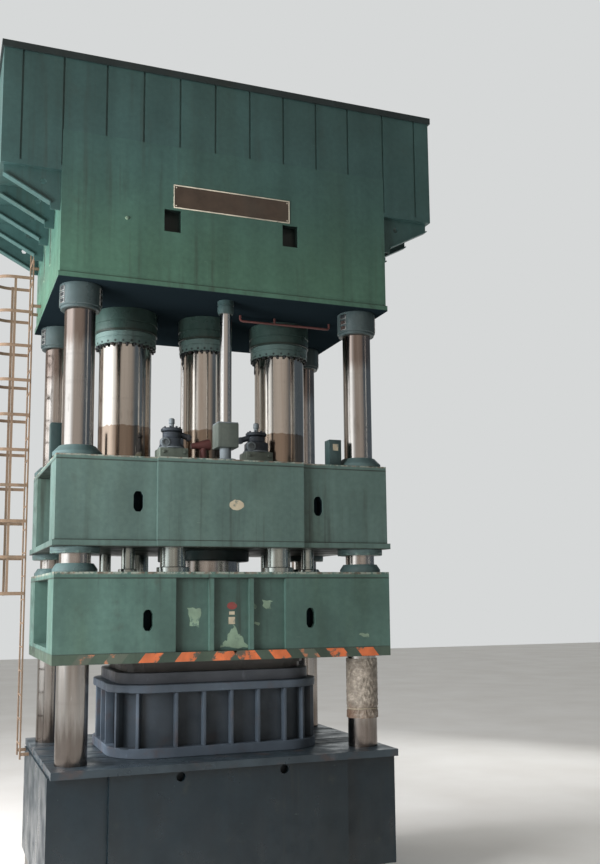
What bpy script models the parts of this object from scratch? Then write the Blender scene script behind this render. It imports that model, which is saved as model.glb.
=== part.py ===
"""Four-column, double-slide hydraulic press, in metres, +Z up, front towards -Y.

The origin is under the middle of the press, at the foot of the foundation beams.
The press stands with its tool closed: the blank-holder slide is down on the die and
the main slide is at the bottom of its draw.
"""
import math

import bmesh
import bpy
from mathutils import Matrix, Vector

# Clearances
SEAT = 0.0003            # gap between two pieces that touch
RUN = 0.0005             # running clearance on the radius of a guided rod or column
PLAY = 0.012             # clearance of a rough bore round what passes through it
FUSE = 0.004             # overlap of shapes that are welded or screwed into one piece
OVERSHOOT = 0.1          # how far a cutter runs out past what it cuts
MARKER_SIZE = 0.5        # drawn size of the empties on the joints

# Columns
COLUMN_SPACING_X = 4.35
COLUMN_SPACING_Y = 2.42
COLUMN_RADIUS = 0.22
COLUMN_SIDES = 12
NUT_ACROSS = 0.58
NUT_HEIGHT = 0.34
THREAD_STANDOUT = 0.05
COLLAR_RADIUS = 0.30
COLLAR_HEIGHT = 0.36
COLLAR_LIP = 0.04
COLLAR_LIP_STEP = 0.02
POCKET_SIZE = (0.07, 0.10, 0.05)
POCKET_PITCH = 0.09
POCKET_START = 0.07
POCKET_Y = 0.09
GLAND_FOOT_RADIUS = 0.345
GLAND_TOP_RADIUS = 0.26
GLAND_HEIGHT = 0.14
GLAND_DISC_SHARE = 0.35
LOW_GLAND_RADIUS = 0.31
LOW_GLAND_HEIGHT = 0.12
HANGING_GLAND_RADIUS = 0.345
HANGING_GLAND_HEIGHT = 0.09
GUIDE_LAND = 0.02

# Bed and foundation
BEAM_WIDTH = 0.62
BEAM_X = 1.25
BEAM_HEIGHT = 0.42
BED_WIDTH = COLUMN_SPACING_X + 0.70
BED_DEPTH = COLUMN_SPACING_Y + 0.88
BED_HEIGHT = 1.55
BED_CORNER_WIDTH = 0.80
BED_CORNER_STEP = 0.09
BED_PORT_RADIUS = 0.065
BED_PORT_X = 0.75
BED_PORT_DROP = 0.085
BED_PORT_DEPTH = 0.25
BOLSTER_WIDTH = COLUMN_SPACING_X + 0.65
BOLSTER_DEPTH = COLUMN_SPACING_Y + 1.08
BOLSTER_THICK = 0.10
SLOT_ROWS = (0.35, 0.75)
SLOT_NECK = 0.036
SLOT_HEAD = 0.066
SLOT_HEAD_HEIGHT = 0.03
SLOT_DEPTH = 0.07

# Tool on the bolster
DIE_WIDTH = 3.20
DIE_DEPTH = 2.40
DIE_CORNER = 0.62
DIE_CORNER_STEPS = 4
DIE_FOOT_THICK = 0.14
DIE_FLANGE_THICK = 0.115
DIE_BASE_HEIGHT = 1.015
DIE_WALL_INSET = 0.15
DIE_RIB_THICK = 0.045
DIE_RIB_INSET = 0.02
DIE_RIB_PITCH = 0.41
DIE_RIB_OFFSET = 0.12
DIE_RING_INSET = 0.12
DIE_RING_HEIGHT = 0.16
DIE_CAVITY_RADIUS = 0.75
DIE_THROAT_RADIUS = 0.60
DIE_THROAT_ROUND = 0.05
HOLDER_RING_INSET = 0.24
HOLDER_RING_HEIGHT = 0.172
HOLDER_RING_STEP = 0.045
PUNCH_RADIUS = 0.55
PUNCH_DOME = 0.22
PUNCH_SIDES = 16
PUNCH_DOME_STEPS = 4
DRAW_DEPTH = 0.62
PUNCH_PLATE_RADIUS = 0.72
PUNCH_PLATE_THICK = 0.15

# Slides
SLIDE_WIDTH = COLUMN_SPACING_X + 0.65
SLIDE_DEPTH = COLUMN_SPACING_Y + 0.70
CORNER_BLOCK_DEPTH = 0.67
SIDE_RECESS = 0.38
SIDE_SHELF = 0.07
BASE_PLATE_THICK = 0.135
HOLDER_SLIDE_HEIGHT = 1.115
HOLDER_BORE_RADIUS = 0.62
HOLDER_RIBS_X = (0.297, 0.85)
HOLDER_RIB_THICK = 0.065
HOLDER_PANEL_RECESS = 0.075
HOLDER_TOP_FLANGE = 0.09
SLIDE_GAP = 0.35
MAIN_FLANGE_THICK = 0.085
MAIN_FLANGE_PROUD = 0.035
MAIN_SLIDE_HEIGHT = 1.19
MAIN_MIDDLE_WIDTH = 2.20
MAIN_MIDDLE_PROUD = 0.085
HOLE_WIDTH = 0.15
HOLE_HEIGHT = 0.31
HOLE_DEPTH = 0.22
HOLE_STEPS = 3
MAIN_HOLE_X = 1.36
MAIN_HOLE_LIFT = 0.635
HOLDER_HOLE_X = 1.21
HOLDER_HOLE_LIFT = 0.445

# Rods between the slides
HOLDER_ROD_RADIUS = 0.185
HOLDER_ROD_X = 0.80
HOLDER_ROD_Y = 1.28
HOLDER_ROD_FOOT = 0.235
HOLDER_ROD_FOOT_HEIGHT = 0.07
HOLDER_ROD_REACH = 0.86
GUIDE_ROD_RADIUS = 0.095
GUIDE_ROD_X = 1.39
GUIDE_ROD_Y = 0.98
GUIDE_ROD_FOOT = 0.14
GUIDE_ROD_FOOT_HEIGHT = 0.05
BORE_END_ROOM = 0.08
ROD_SIDES = 10

# Crown, tank and wings
CROWN_ABOVE_TABLE = 6.70
CROWN_WIDTH = COLUMN_SPACING_X + 0.70
CROWN_DEPTH = COLUMN_SPACING_Y + 0.76
CROWN_HEIGHT = 2.18
CROWN_LIP_THICK = 0.085
CROWN_LIP_PROUD = 0.02
WINDOW_X = 0.92
WINDOW_WIDTH = 0.25
WINDOW_HEIGHT = 0.34
WINDOW_ABOVE_BOTTOM = 0.86
WINDOW_DEPTH = 0.30
TANK_HEIGHT = 1.09
RIM_HEIGHT = 0.10
RIM_PROUD = 0.03
WING_REACH = 0.835
WING_DROP = 0.61
PANEL_THICK = 0.02
PANEL_GAP = 0.028
PANEL_PITCH = 0.545
WING_PANEL_SPLIT = 0.57
PANEL_EDGE = 0.07
SIDE_PANELS = 6
NUT_POCKET_ROOM = 0.02
GUSSET_COUNT = 5
GUSSET_INSET = 0.04
GUSSET_THICK = 0.03
GUSSET_REACH = 0.79
GUSSET_TIP = 0.13
GUSSET_DROP = 0.475
GUSSET_LEG = 0.14
GUSSET_LEG_DROP = 0.56
GUSSET_FLANGE_WIDTH = 0.13
GUSSET_FLANGE_THICK = 0.018
GUSSET_HOLE_RADIUS = 0.045
GUSSET_HOLE_X = 0.245
GUSSET_HOLE_Z = 0.17

# Main cylinders and rams
RAM_SPACING = 1.29
SIDE_RAM_RADIUS = 0.41
MIDDLE_RAM_RADIUS = 0.34
RAM_SIDES = 16
CYLINDER_WALL = 0.085
CYLINDER_STANDOUT = 0.36
CYLINDER_TOP_COVER = 0.10
GLAND_RING_HEIGHT = 0.19
GLAND_RING_WALL = 0.065
GLAND_BOLT_ACROSS = 0.05
GLAND_BOLT_HEIGHT = 0.035
GLAND_BOLTS = 8
RAM_REACH = 0.80
RETURN_ROD_RADIUS = 0.09
RETURN_ROD_Y = 1.22
RETURN_ROD_REACH = 0.30
RETURN_GLAND_RADIUS = 0.125
RETURN_GLAND_HEIGHT = 0.20
RETURN_GLAND_LIP = 0.05
RETURN_GLAND_TAPER = 0.015
BLOCK_SIZE = 0.32
BLOCK_HEIGHT = 0.38
BLOCK_FOOT_RADIUS = 0.085
BLOCK_FOOT_HEIGHT = 0.215
BLOCK_FOOT_FLANGE = 0.17
BLOCK_FOOT_FLANGE_THICK = 0.05

# Valve blocks and cabinets on the main slide
VALVE_X = 0.68
VALVE_Y = 0.62
VALVE_BASE = 0.22
VALVE_DEPTH = 0.374
VALVE_BASE_HEIGHT = 0.28
VALVE_BODY_LOW = 0.19
VALVE_BODY_HIGH = 0.11
VALVE_BODY_HEIGHT = 0.26
VALVE_SHOULDER = 0.065
VALVE_COLLAR_RADIUS = 0.125
VALVE_COLLAR_HEIGHT = 0.05
VALVE_POST_RADIUS = 0.05
VALVE_POST_HEIGHT = 0.15
VALVE_ARM_REACH = 0.30
VALVE_ARM_SIZE = 0.07
VALVE_ARM_LIFT = 0.18
FRONT_CABINET = (1.71, -1.30)
FRONT_CABINET_SIZE = (0.20, 0.20, 0.41)
REAR_CABINET = (-2.366, -0.20)
REAR_CABINET_SIZE = (0.16, 0.20, 0.64)

# Ejector
EJECTOR_ROD_RADIUS = 0.15
EJECTOR_PAD_RADIUS = 0.30
EJECTOR_PAD_THICK = 0.09
EJECTOR_BODY_RADIUS = 0.24
EJECTOR_FLANGE_RADIUS = 0.36
EJECTOR_FLANGE_THICK = 0.08
EJECTOR_ROD_REACH = 1.00

# Drain pipe, ladder and cage
PIPE_RADIUS = 0.02
PIPE_Y = -0.62
PIPE_X = (0.42, 1.95)
PIPE_DROP = 0.09
LADDER_GAP = 0.115
LADDER_Y = 1.10
LADDER_WIDTH = 0.50
LADDER_RAIL = (0.025, 0.03)
LADDER_FOOT_DROP = 0.10
LADDER_TOP_GAP = 0.12
RUNG_RADIUS = 0.013
RUNG_PITCH = 0.37
RUNG_SIDES = 5
LADDER_BRACKETS = (0.25, 1.05)
BRACKET_SIZE = (0.05, 0.02)
CAGE_RADIUS = 0.33
CAGE_STRAIGHT = 0.30
CAGE_START = 2.30
CAGE_TOP_ROOM = 0.62
HOOP_PITCH = 0.565
HOOP_FOOT = 0.12
HOOP_BAR = (0.008, 0.05)
HOOP_ARC_STEPS = 5
STRIP_BAR = (0.006, 0.04)
STRIP_SETBACK = 0.03

# Wrap round the front right column
WRAP_THICK = 0.022
WRAP_START = 0.42
WRAP_LENGTH = 0.88

# Strokes
HOLDER_STROKE = 0.80
DRAW_STROKE = 0.60

# Levels, worked out upwards from the floor
BED_Z = BEAM_HEIGHT + SEAT
BED_TOP = BED_Z + BED_HEIGHT
BOLSTER_Z = BED_TOP + SEAT
TABLE_Z = BOLSTER_Z + BOLSTER_THICK
DIE_Z = TABLE_Z + SEAT
DIE_RING_Z = DIE_Z + DIE_BASE_HEIGHT + SEAT
DIE_TOP = DIE_RING_Z + DIE_RING_HEIGHT
HOLDER_RING_Z = DIE_TOP + SEAT
BASE_PLATE_Z = HOLDER_RING_Z + HOLDER_RING_HEIGHT + SEAT
HOLDER_Z = BASE_PLATE_Z + BASE_PLATE_THICK + SEAT
HOLDER_TOP = HOLDER_Z + HOLDER_SLIDE_HEIGHT
MAIN_Z = HOLDER_TOP + SLIDE_GAP
MAIN_TOP = MAIN_Z + MAIN_FLANGE_THICK + MAIN_SLIDE_HEIGHT
CROWN_Z = TABLE_Z + CROWN_ABOVE_TABLE
CROWN_TOP = CROWN_Z + CROWN_HEIGHT
TANK_Z = CROWN_TOP + SEAT
TANK_TOP = TANK_Z + TANK_HEIGHT
WING_Z = TANK_Z - WING_DROP

COLUMN_X = COLUMN_SPACING_X / 2
COLUMN_Y = COLUMN_SPACING_Y / 2
QUARTERS = [(sx, sy) for sy in (-1, 1) for sx in (-1, 1)]
CORNERS = [(sx * COLUMN_X, sy * COLUMN_Y) for sx, sy in QUARTERS]
RAM_NAMES = ("left", "middle", "right")
ENDS = ((-1, "front"), (1, "rear"))
CORNER_NAMES = ["front_left", "front_right", "rear_left", "rear_right"]
CROWN_SIDE = CROWN_WIDTH / 2
CROWN_FACE = CROWN_DEPTH / 2
WING_END = CROWN_SIDE + WING_REACH

# Paint and metal: name, colour, roughness, metallic
FINISHES = {
    "green_paint": ((0.075, 0.165, 0.130), 0.55, 0.0),
    "dark_green_paint": ((0.045, 0.095, 0.080), 0.60, 0.0),
    "ground_steel": ((0.560, 0.520, 0.470), 0.28, 1.0),
    "dark_cast_iron": ((0.060, 0.065, 0.070), 0.62, 0.3),
    "bright_bolt_steel": ((0.300, 0.310, 0.310), 0.45, 0.8),
    "red_brown_paint": ((0.200, 0.060, 0.045), 0.55, 0.0),
    "rusty_ladder_paint": ((0.320, 0.190, 0.110), 0.65, 0.0),
    "beige_film": ((0.480, 0.410, 0.330), 0.45, 0.0),
}


def fresh_scene():
    """Remove the scene's objects and give the two collections."""
    for obj in list(bpy.data.objects):
        bpy.data.objects.remove(obj)
    parts = bpy.data.collections.new("hydraulic_press")
    cutters = bpy.data.collections.new("cutters")
    bpy.context.scene.collection.children.link(parts)
    bpy.context.scene.collection.children.link(cutters)
    return parts, cutters


PARTS, CUTTERS = fresh_scene()


def material(name, slot):
    """A Principled material for one sub-part."""
    colour, roughness, metallic = FINISHES[slot]
    made = bpy.data.materials.new(name + "_" + slot)
    made.use_nodes = True
    shader = made.node_tree.nodes["Principled BSDF"]
    shader.inputs["Base Color"].default_value = (*colour, 1.0)
    shader.inputs["Roughness"].default_value = roughness
    shader.inputs["Metallic"].default_value = metallic
    made.diffuse_color = (*colour, 1.0)
    return made


def evaluated_mesh(obj):
    """The object's mesh with its modifiers applied and its caps welded; the object goes."""
    bpy.context.view_layer.update()
    graph = bpy.context.evaluated_depsgraph_get()
    mesh = bpy.data.meshes.new_from_object(obj.evaluated_get(graph))
    bpy.data.objects.remove(obj)
    work = bmesh.new()
    work.from_mesh(mesh)
    bmesh.ops.remove_doubles(work, verts=work.verts, dist=0.00002)
    work.to_mesh(mesh)
    work.free()
    return mesh


def box_mesh(size, centre=(0, 0, 0)):
    """A box of the given size round its centre."""
    work = bmesh.new()
    bmesh.ops.create_cube(work, size=1.0)
    bmesh.ops.scale(work, verts=work.verts, vec=Vector(size))
    bmesh.ops.translate(work, verts=work.verts, vec=Vector(centre))
    mesh = bpy.data.meshes.new("box")
    work.to_mesh(mesh)
    work.free()
    return mesh


def span_mesh(low, high):
    """A box between two corners."""
    size = [high[i] - low[i] for i in range(3)]
    centre = [(high[i] + low[i]) / 2 for i in range(3)]
    return box_mesh(size, centre)


def turned_mesh(profile, sides, ring=False):
    """A profile of (radius, height) turned round Z. It runs down its outer side.

    A ring's profile is a closed loop; any other starts and ends on the axis.
    """
    work = bmesh.new()
    points = [work.verts.new((radius, 0, height)) for radius, height in profile]
    for first, second in zip(points, points[1:]):
        work.edges.new((first, second))
    if ring:
        work.edges.new((points[-1], points[0]))
    mesh = bpy.data.meshes.new("profile")
    work.to_mesh(mesh)
    work.free()
    obj = bpy.data.objects.new("profile", mesh)
    CUTTERS.objects.link(obj)
    screw = obj.modifiers.new("turn", "SCREW")
    screw.axis = "Z"
    screw.steps = sides
    screw.render_steps = sides
    screw.use_merge_vertices = True
    screw.merge_threshold = 0.0001
    return evaluated_mesh(obj)


def cylinder_mesh(radius, low, high, sides):
    """A plain cylinder between two heights."""
    return turned_mesh([(0, high), (radius, high), (radius, low), (0, low)], sides)


def ring_mesh(outer, inner, low, high, sides):
    """A plain ring between two heights."""
    profile = [(outer, high), (outer, low), (inner, low), (inner, high)]
    return turned_mesh(profile, sides, ring=True)


def outline_mesh(loops, thickness):
    """A flat outline in XY, with any inner loops as holes, thickened evenly about Z = 0."""
    curve = bpy.data.curves.new("outline", "CURVE")
    curve.dimensions = "2D"
    curve.fill_mode = "BOTH"
    curve.extrude = thickness / 2
    for loop in loops:
        spline = curve.splines.new("POLY")
        spline.points.add(len(loop) - 1)
        for point, (x, y) in zip(spline.points, loop):
            point.co = (x, y, 0, 1)
        spline.use_cyclic_u = True
    obj = bpy.data.objects.new("outline", curve)
    CUTTERS.objects.link(obj)
    return evaluated_mesh(obj)


def upright(mesh):
    """Stand an XY outline up in the XZ plane, facing -Y."""
    mesh.transform(Matrix.Rotation(math.radians(90), 4, "X"))
    return mesh


def arc(centre, radius, start, end, steps):
    """Points on an arc, angles in degrees."""
    points = []
    for i in range(steps + 1):
        angle = math.radians(start + (end - start) * i / steps)
        points.append((centre[0] + radius * math.cos(angle), centre[1] + radius * math.sin(angle)))
    return points


def rounded_rectangle(width, depth, corner):
    """The outline of a rectangle with round corners, anticlockwise."""
    x, y = width / 2 - corner, depth / 2 - corner
    points = []
    for cx, cy, start in ((x, y, 0), (-x, y, 90), (-x, -y, 180), (x, -y, 270)):
        points += arc((cx, cy), corner, start, start + 90, DIE_CORNER_STEPS)
    return points


def gather(meshes):
    """One mesh from several, as (mesh, place) pairs or meshes; they stay separate solids."""
    work = bmesh.new()
    for item in meshes:
        mesh, place = item if isinstance(item, tuple) else (item, Matrix.Identity(4))
        copy = mesh.copy()
        copy.transform(place)
        work.from_mesh(copy)
        bpy.data.meshes.remove(copy)
    mesh = bpy.data.meshes.new("group")
    work.to_mesh(mesh)
    work.free()
    return mesh


def at(x, y, z=0.0, turn=0.0):
    """A place, with a turn about Z in degrees."""
    return Matrix.Translation((x, y, z)) @ Matrix.Rotation(math.radians(turn), 4, "Z")


def piece(name, mesh, slot, place=(0, 0, 0), carrier=None, smooth=35):
    """Link a sub-part with its own material; a moving one is carried by an empty."""
    mesh.name = name
    obj = bpy.data.objects.new(name, mesh)
    obj.location = place
    PARTS.objects.link(obj)
    mesh.materials.clear()
    mesh.materials.append(material(name, slot))
    mesh.shade_smooth()
    mesh.set_sharp_from_angle(angle=math.radians(smooth))
    if carrier is not None:
        obj.parent = carrier
        obj.location = Vector(place) - carrier.location
    return obj


def boolean(obj, mesh, operation, name, place=(0, 0, 0)):
    """Cut a piece with a mesh, or join the mesh to it; the place is in world coordinates."""
    tool = bpy.data.objects.new(obj.name + "_" + name, mesh)
    tool.location = place
    tool.hide_render = True
    tool.display_type = "WIRE"
    CUTTERS.objects.link(tool)
    modifier = obj.modifiers.new(name, "BOOLEAN")
    modifier.operation = operation
    modifier.object = tool
    return tool


def cut(obj, mesh, name, place=(0, 0, 0)):
    boolean(obj, mesh, "DIFFERENCE", name, place)


def join(obj, mesh, name, place=(0, 0, 0)):
    boolean(obj, mesh, "UNION", name, place)


def motion(name, height):
    """An empty on a slide joint's axis."""
    empty = bpy.data.objects.new(name, None)
    empty.location = (0, 0, height)
    empty.empty_display_size = MARKER_SIZE
    PARTS.objects.link(empty)
    return empty


def column_bores(radius, low, high):
    """Four bores on the column centres."""
    bore = cylinder_mesh(radius, low, high, COLUMN_SIDES)
    return gather([(bore, at(x, y)) for x, y in CORNERS])


def hexagon_nut(bore_radius):
    """A column nut standing on Z = 0 with a plain bore."""
    outer = arc((0, 0), NUT_ACROSS / 2 / math.cos(math.radians(30)), 0, 300, 5)
    inner = arc((0, 0), bore_radius, 0, 360 - 360 / COLUMN_SIDES, COLUMN_SIDES - 1)
    mesh = outline_mesh([outer, inner], NUT_HEIGHT)
    mesh.transform(Matrix.Translation((0, 0, NUT_HEIGHT / 2)))
    return mesh


def obround_mesh(width, height, depth):
    """A cutter with an obround outline in XZ, centred."""
    straight = (height - width) / 2
    loop = arc((0, straight), width / 2, 0, 180, HOLE_STEPS)
    loop += arc((0, -straight), width / 2, 180, 360, HOLE_STEPS)
    return upright(outline_mesh([loop], depth))


def build_bed():
    """Foundation beams, bed and bolster."""
    for side, name in ((-1, "left"), (1, "right")):
        beam = box_mesh((BEAM_WIDTH, BED_DEPTH, BEAM_HEIGHT))
        piece("foundation_beam_" + name, beam, "dark_cast_iron",
              (side * BEAM_X, 0, BEAM_HEIGHT / 2))

    bed = piece("bed", box_mesh((BED_WIDTH, BED_DEPTH, BED_HEIGHT)), "dark_green_paint",
                (0, 0, BED_Z + BED_HEIGHT / 2))
    low, high = BED_Z - OVERSHOOT, BED_TOP + OVERSHOOT
    corner = box_mesh((2 * BED_CORNER_WIDTH, 2 * BED_CORNER_STEP, high - low), (0, 0, (low + high) / 2))
    corners = [(corner, at(sx * BED_WIDTH / 2, sy * BED_DEPTH / 2)) for sx, sy in QUARTERS]
    cut(bed, gather(corners), "corner_steps")
    cut(bed, column_bores(COLUMN_RADIUS + SEAT, low, high), "column_bores")
    ejector_bore = cylinder_mesh(EJECTOR_BODY_RADIUS + SEAT, low, high, RAM_SIDES)
    cut(bed, ejector_bore, "ejector_bore")
    port = cylinder_mesh(BED_PORT_RADIUS, 0, BED_PORT_DEPTH, ROD_SIDES)
    port.transform(Matrix.Rotation(math.radians(90), 4, "X"))
    front = -BED_DEPTH / 2 + BED_PORT_DEPTH / 2
    ports = gather([(port, at(side * BED_PORT_X, front, BED_TOP - BED_PORT_DROP)) for side in (-1, 1)])
    cut(bed, ports, "ports")

    bolster = piece("bolster", box_mesh((BOLSTER_WIDTH, BOLSTER_DEPTH, BOLSTER_THICK)),
                    "dark_cast_iron", (0, 0, BOLSTER_Z + BOLSTER_THICK / 2))
    low, high = BOLSTER_Z - OVERSHOOT, TABLE_Z + OVERSHOOT
    cut(bolster, column_bores(COLUMN_RADIUS + SEAT, low, high), "column_bores")
    pad_bore = cylinder_mesh(EJECTOR_PAD_RADIUS + RUN, low, high, RAM_SIDES)
    cut(bolster, pad_bore, "pad_bore")
    neck, head = SLOT_NECK / 2, SLOT_HEAD / 2
    floor, shelf = -SLOT_DEPTH, SLOT_HEAD_HEIGHT - SLOT_DEPTH
    tee = [(-neck, OVERSHOOT), (-neck, shelf), (-head, shelf), (-head, floor),
           (head, floor), (head, shelf), (neck, shelf), (neck, OVERSHOOT)]
    slot = upright(outline_mesh([tee], BOLSTER_WIDTH + 2 * OVERSHOOT))
    slot.transform(Matrix.Rotation(math.radians(90), 4, "Z"))
    slots = gather([(slot, at(0, side * y, TABLE_Z)) for y in SLOT_ROWS for side in (-1, 1)])
    cut(bolster, slots, "tee_slots")


def build_columns():
    """Columns with their nuts and split collars."""
    low = BED_Z - SEAT - NUT_HEIGHT - THREAD_STANDOUT
    high = CROWN_TOP + SEAT + NUT_HEIGHT + THREAD_STANDOUT
    bed_nut = hexagon_nut(COLUMN_RADIUS + SEAT)
    crown_nut = hexagon_nut(COLUMN_RADIUS - FUSE)
    inner, top, lip = COLUMN_RADIUS + SEAT, COLLAR_HEIGHT, COLLAR_LIP
    neck = COLLAR_RADIUS - COLLAR_LIP_STEP
    profile = [(COLLAR_RADIUS, top), (COLLAR_RADIUS, lip), (neck, lip), (neck, 0), (inner, 0), (inner, top)]
    pocket = box_mesh(POCKET_SIZE)
    rows = [COLLAR_LIP + POCKET_START + POCKET_PITCH * i for i in range(3)]
    pockets = gather([(pocket, at(side * neck, -POCKET_Y, z)) for side in (-1, 1) for z in rows])
    for (x, y), name in zip(CORNERS, CORNER_NAMES):
        column = piece("column_" + name, cylinder_mesh(COLUMN_RADIUS, 0, high - low, COLUMN_SIDES),
                       "ground_steel", (x, y, low))
        join(column, crown_nut.copy(), "crown_nut", (x, y, CROWN_TOP + SEAT))
        piece("bed_nut_" + name, bed_nut.copy(), "bright_bolt_steel", (x, y, BED_Z - SEAT - NUT_HEIGHT))
        place = (x, y, CROWN_Z - SEAT - COLLAR_HEIGHT)
        collar = piece("crown_collar_" + name, turned_mesh(profile, COLUMN_SIDES, ring=True),
                       "dark_cast_iron", place)
        cut(collar, pockets.copy(), "bolt_pockets", place)


def gusset_mesh():
    """A bracing gusset with a leg, a hole and a flange, standing out along +X."""
    tip, root = (GUSSET_REACH, -GUSSET_TIP), (GUSSET_LEG, -GUSSET_DROP)
    outline = [(FUSE, FUSE), (FUSE, -GUSSET_LEG_DROP), (GUSSET_LEG, -GUSSET_LEG_DROP), root, tip,
               (GUSSET_REACH, FUSE)]
    hole = arc((GUSSET_HOLE_X, -GUSSET_HOLE_Z), GUSSET_HOLE_RADIUS, 0, 300, 5)
    plate = upright(outline_mesh([outline, hole], GUSSET_THICK))
    return plate, tip, root


def weld_gussets(tank):
    """Ten gussets, welded under the two wings."""
    plate, tip, root = gusset_mesh()
    length = math.dist(tip, root)
    slope = math.atan2(tip[1] - root[1], tip[0] - root[0])
    flange = box_mesh((length, GUSSET_FLANGE_WIDTH, GUSSET_FLANGE_THICK))
    flange.transform(Matrix.Rotation(-slope, 4, "Y"))
    middle = ((tip[0] + root[0]) / 2, 0, (tip[1] + root[1]) / 2)
    flange.transform(Matrix.Translation(middle))
    pitch = (CROWN_DEPTH - 2 * GUSSET_INSET - GUSSET_FLANGE_WIDTH) / (GUSSET_COUNT - 1)
    first = -pitch * (GUSSET_COUNT - 1) / 2
    places = []
    for side, turn in ((-1, 180), (1, 0)):
        for i in range(GUSSET_COUNT):
            places.append(at(side * (CROWN_SIDE + SEAT), first + i * pitch, 0, turn))
    height = (0, 0, WING_Z)
    join(tank, gather([(plate, place) for place in places]), "gussets", height)
    join(tank, gather([(flange, place) for place in places]), "gusset_flanges", height)


def build_crown():
    """Crown box with its bores and windows."""
    crown = piece("crown", box_mesh((CROWN_WIDTH, CROWN_DEPTH, CROWN_HEIGHT)), "green_paint",
                  (0, 0, CROWN_Z + CROWN_HEIGHT / 2))
    lip = box_mesh((CROWN_WIDTH + 2 * CROWN_LIP_PROUD, CROWN_DEPTH + 2 * CROWN_LIP_PROUD,
                    CROWN_LIP_THICK), (0, 0, CROWN_Z + CROWN_LIP_THICK / 2))
    join(crown, lip, "bottom_plate")
    low, high = CROWN_Z - OVERSHOOT, CROWN_TOP + OVERSHOOT
    cut(crown, column_bores(COLUMN_RADIUS + SEAT, low, high), "column_bores")
    bores = []
    for x, radius in ram_places():
        bore = cylinder_mesh(radius + RUN + CYLINDER_WALL + SEAT, low, high, RAM_SIDES)
        bores.append((bore, at(x, 0)))
    cut(crown, gather(bores), "cylinder_bores")
    bore = cylinder_mesh(RETURN_ROD_RADIUS + PLAY, low, return_bore_top(), ROD_SIDES)
    cut(crown, gather([(bore, at(0, side * RETURN_ROD_Y)) for side in (-1, 1)]), "return_bores")
    window = box_mesh((WINDOW_WIDTH, WINDOW_DEPTH, WINDOW_HEIGHT))
    z = CROWN_Z + WINDOW_ABOVE_BOTTOM + WINDOW_HEIGHT / 2
    windows = [(window, at(sx * WINDOW_X, sy * CROWN_FACE, z)) for sx in (-1, 1) for sy in (-1, 1)]
    cut(crown, gather(windows), "windows")


def build_tank():
    """Oil tank with side wings and panel seams, and the rim on top."""
    inner = CROWN_SIDE + SEAT
    outline = [(-WING_END, WING_Z), (-inner, WING_Z), (-inner, TANK_Z), (inner, TANK_Z),
               (inner, WING_Z), (WING_END, WING_Z), (WING_END, TANK_TOP), (-WING_END, TANK_TOP)]
    tank = piece("oil_tank", upright(outline_mesh([outline], CROWN_DEPTH)), "green_paint")
    wing_low, high = WING_Z + PANEL_EDGE, TANK_TOP + OVERSHOOT
    seams = [(PANEL_PITCH * (i + 0.5), TANK_Z - OVERSHOOT) for i in range(4)]
    seams += [(CROWN_SIDE, wing_low), (CROWN_SIDE + WING_PANEL_SPLIT, wing_low)]
    grooves = []
    for x, low in seams:
        groove = box_mesh((PANEL_GAP, 2 * PANEL_THICK, high - low), (0, 0, (low + high) / 2))
        grooves += [(groove, at(sx * x, sy * CROWN_FACE)) for sx in (-1, 1) for sy in (-1, 1)]
    side_groove = box_mesh((2 * PANEL_THICK, PANEL_GAP, high - wing_low), (0, 0, (wing_low + high) / 2))
    pitch = CROWN_DEPTH / SIDE_PANELS
    for i in range(1, SIDE_PANELS):
        y = i * pitch - CROWN_FACE
        grooves += [(side_groove, at(sx * WING_END, y)) for sx in (-1, 1)]
    cut(tank, gather(grooves), "panel_seams")
    room = cylinder_mesh(NUT_ACROSS / 2 / math.cos(math.radians(30)) + NUT_POCKET_ROOM,
                         TANK_Z - OVERSHOOT, CROWN_TOP + NUT_HEIGHT + THREAD_STANDOUT + NUT_POCKET_ROOM, 12)
    cut(tank, gather([(room, at(x, y)) for x, y in CORNERS]), "nut_rooms")
    weld_gussets(tank)

    rim = box_mesh((2 * (WING_END + RIM_PROUD), 2 * (CROWN_FACE + RIM_PROUD), RIM_HEIGHT))
    piece("top_rim", rim, "dark_green_paint", (0, 0, TANK_TOP + SEAT + RIM_HEIGHT / 2))


def ram_places():
    """Where the rams stand along X, and their radii."""
    return [(-RAM_SPACING, SIDE_RAM_RADIUS), (0, MIDDLE_RAM_RADIUS), (RAM_SPACING, SIDE_RAM_RADIUS)]


def ram_top():
    return CROWN_Z - CYLINDER_STANDOUT + RAM_REACH


def return_bore_top():
    travel = HOLDER_STROKE + DRAW_STROKE
    return CROWN_Z + RETURN_ROD_REACH + travel + BORE_END_ROOM


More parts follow.
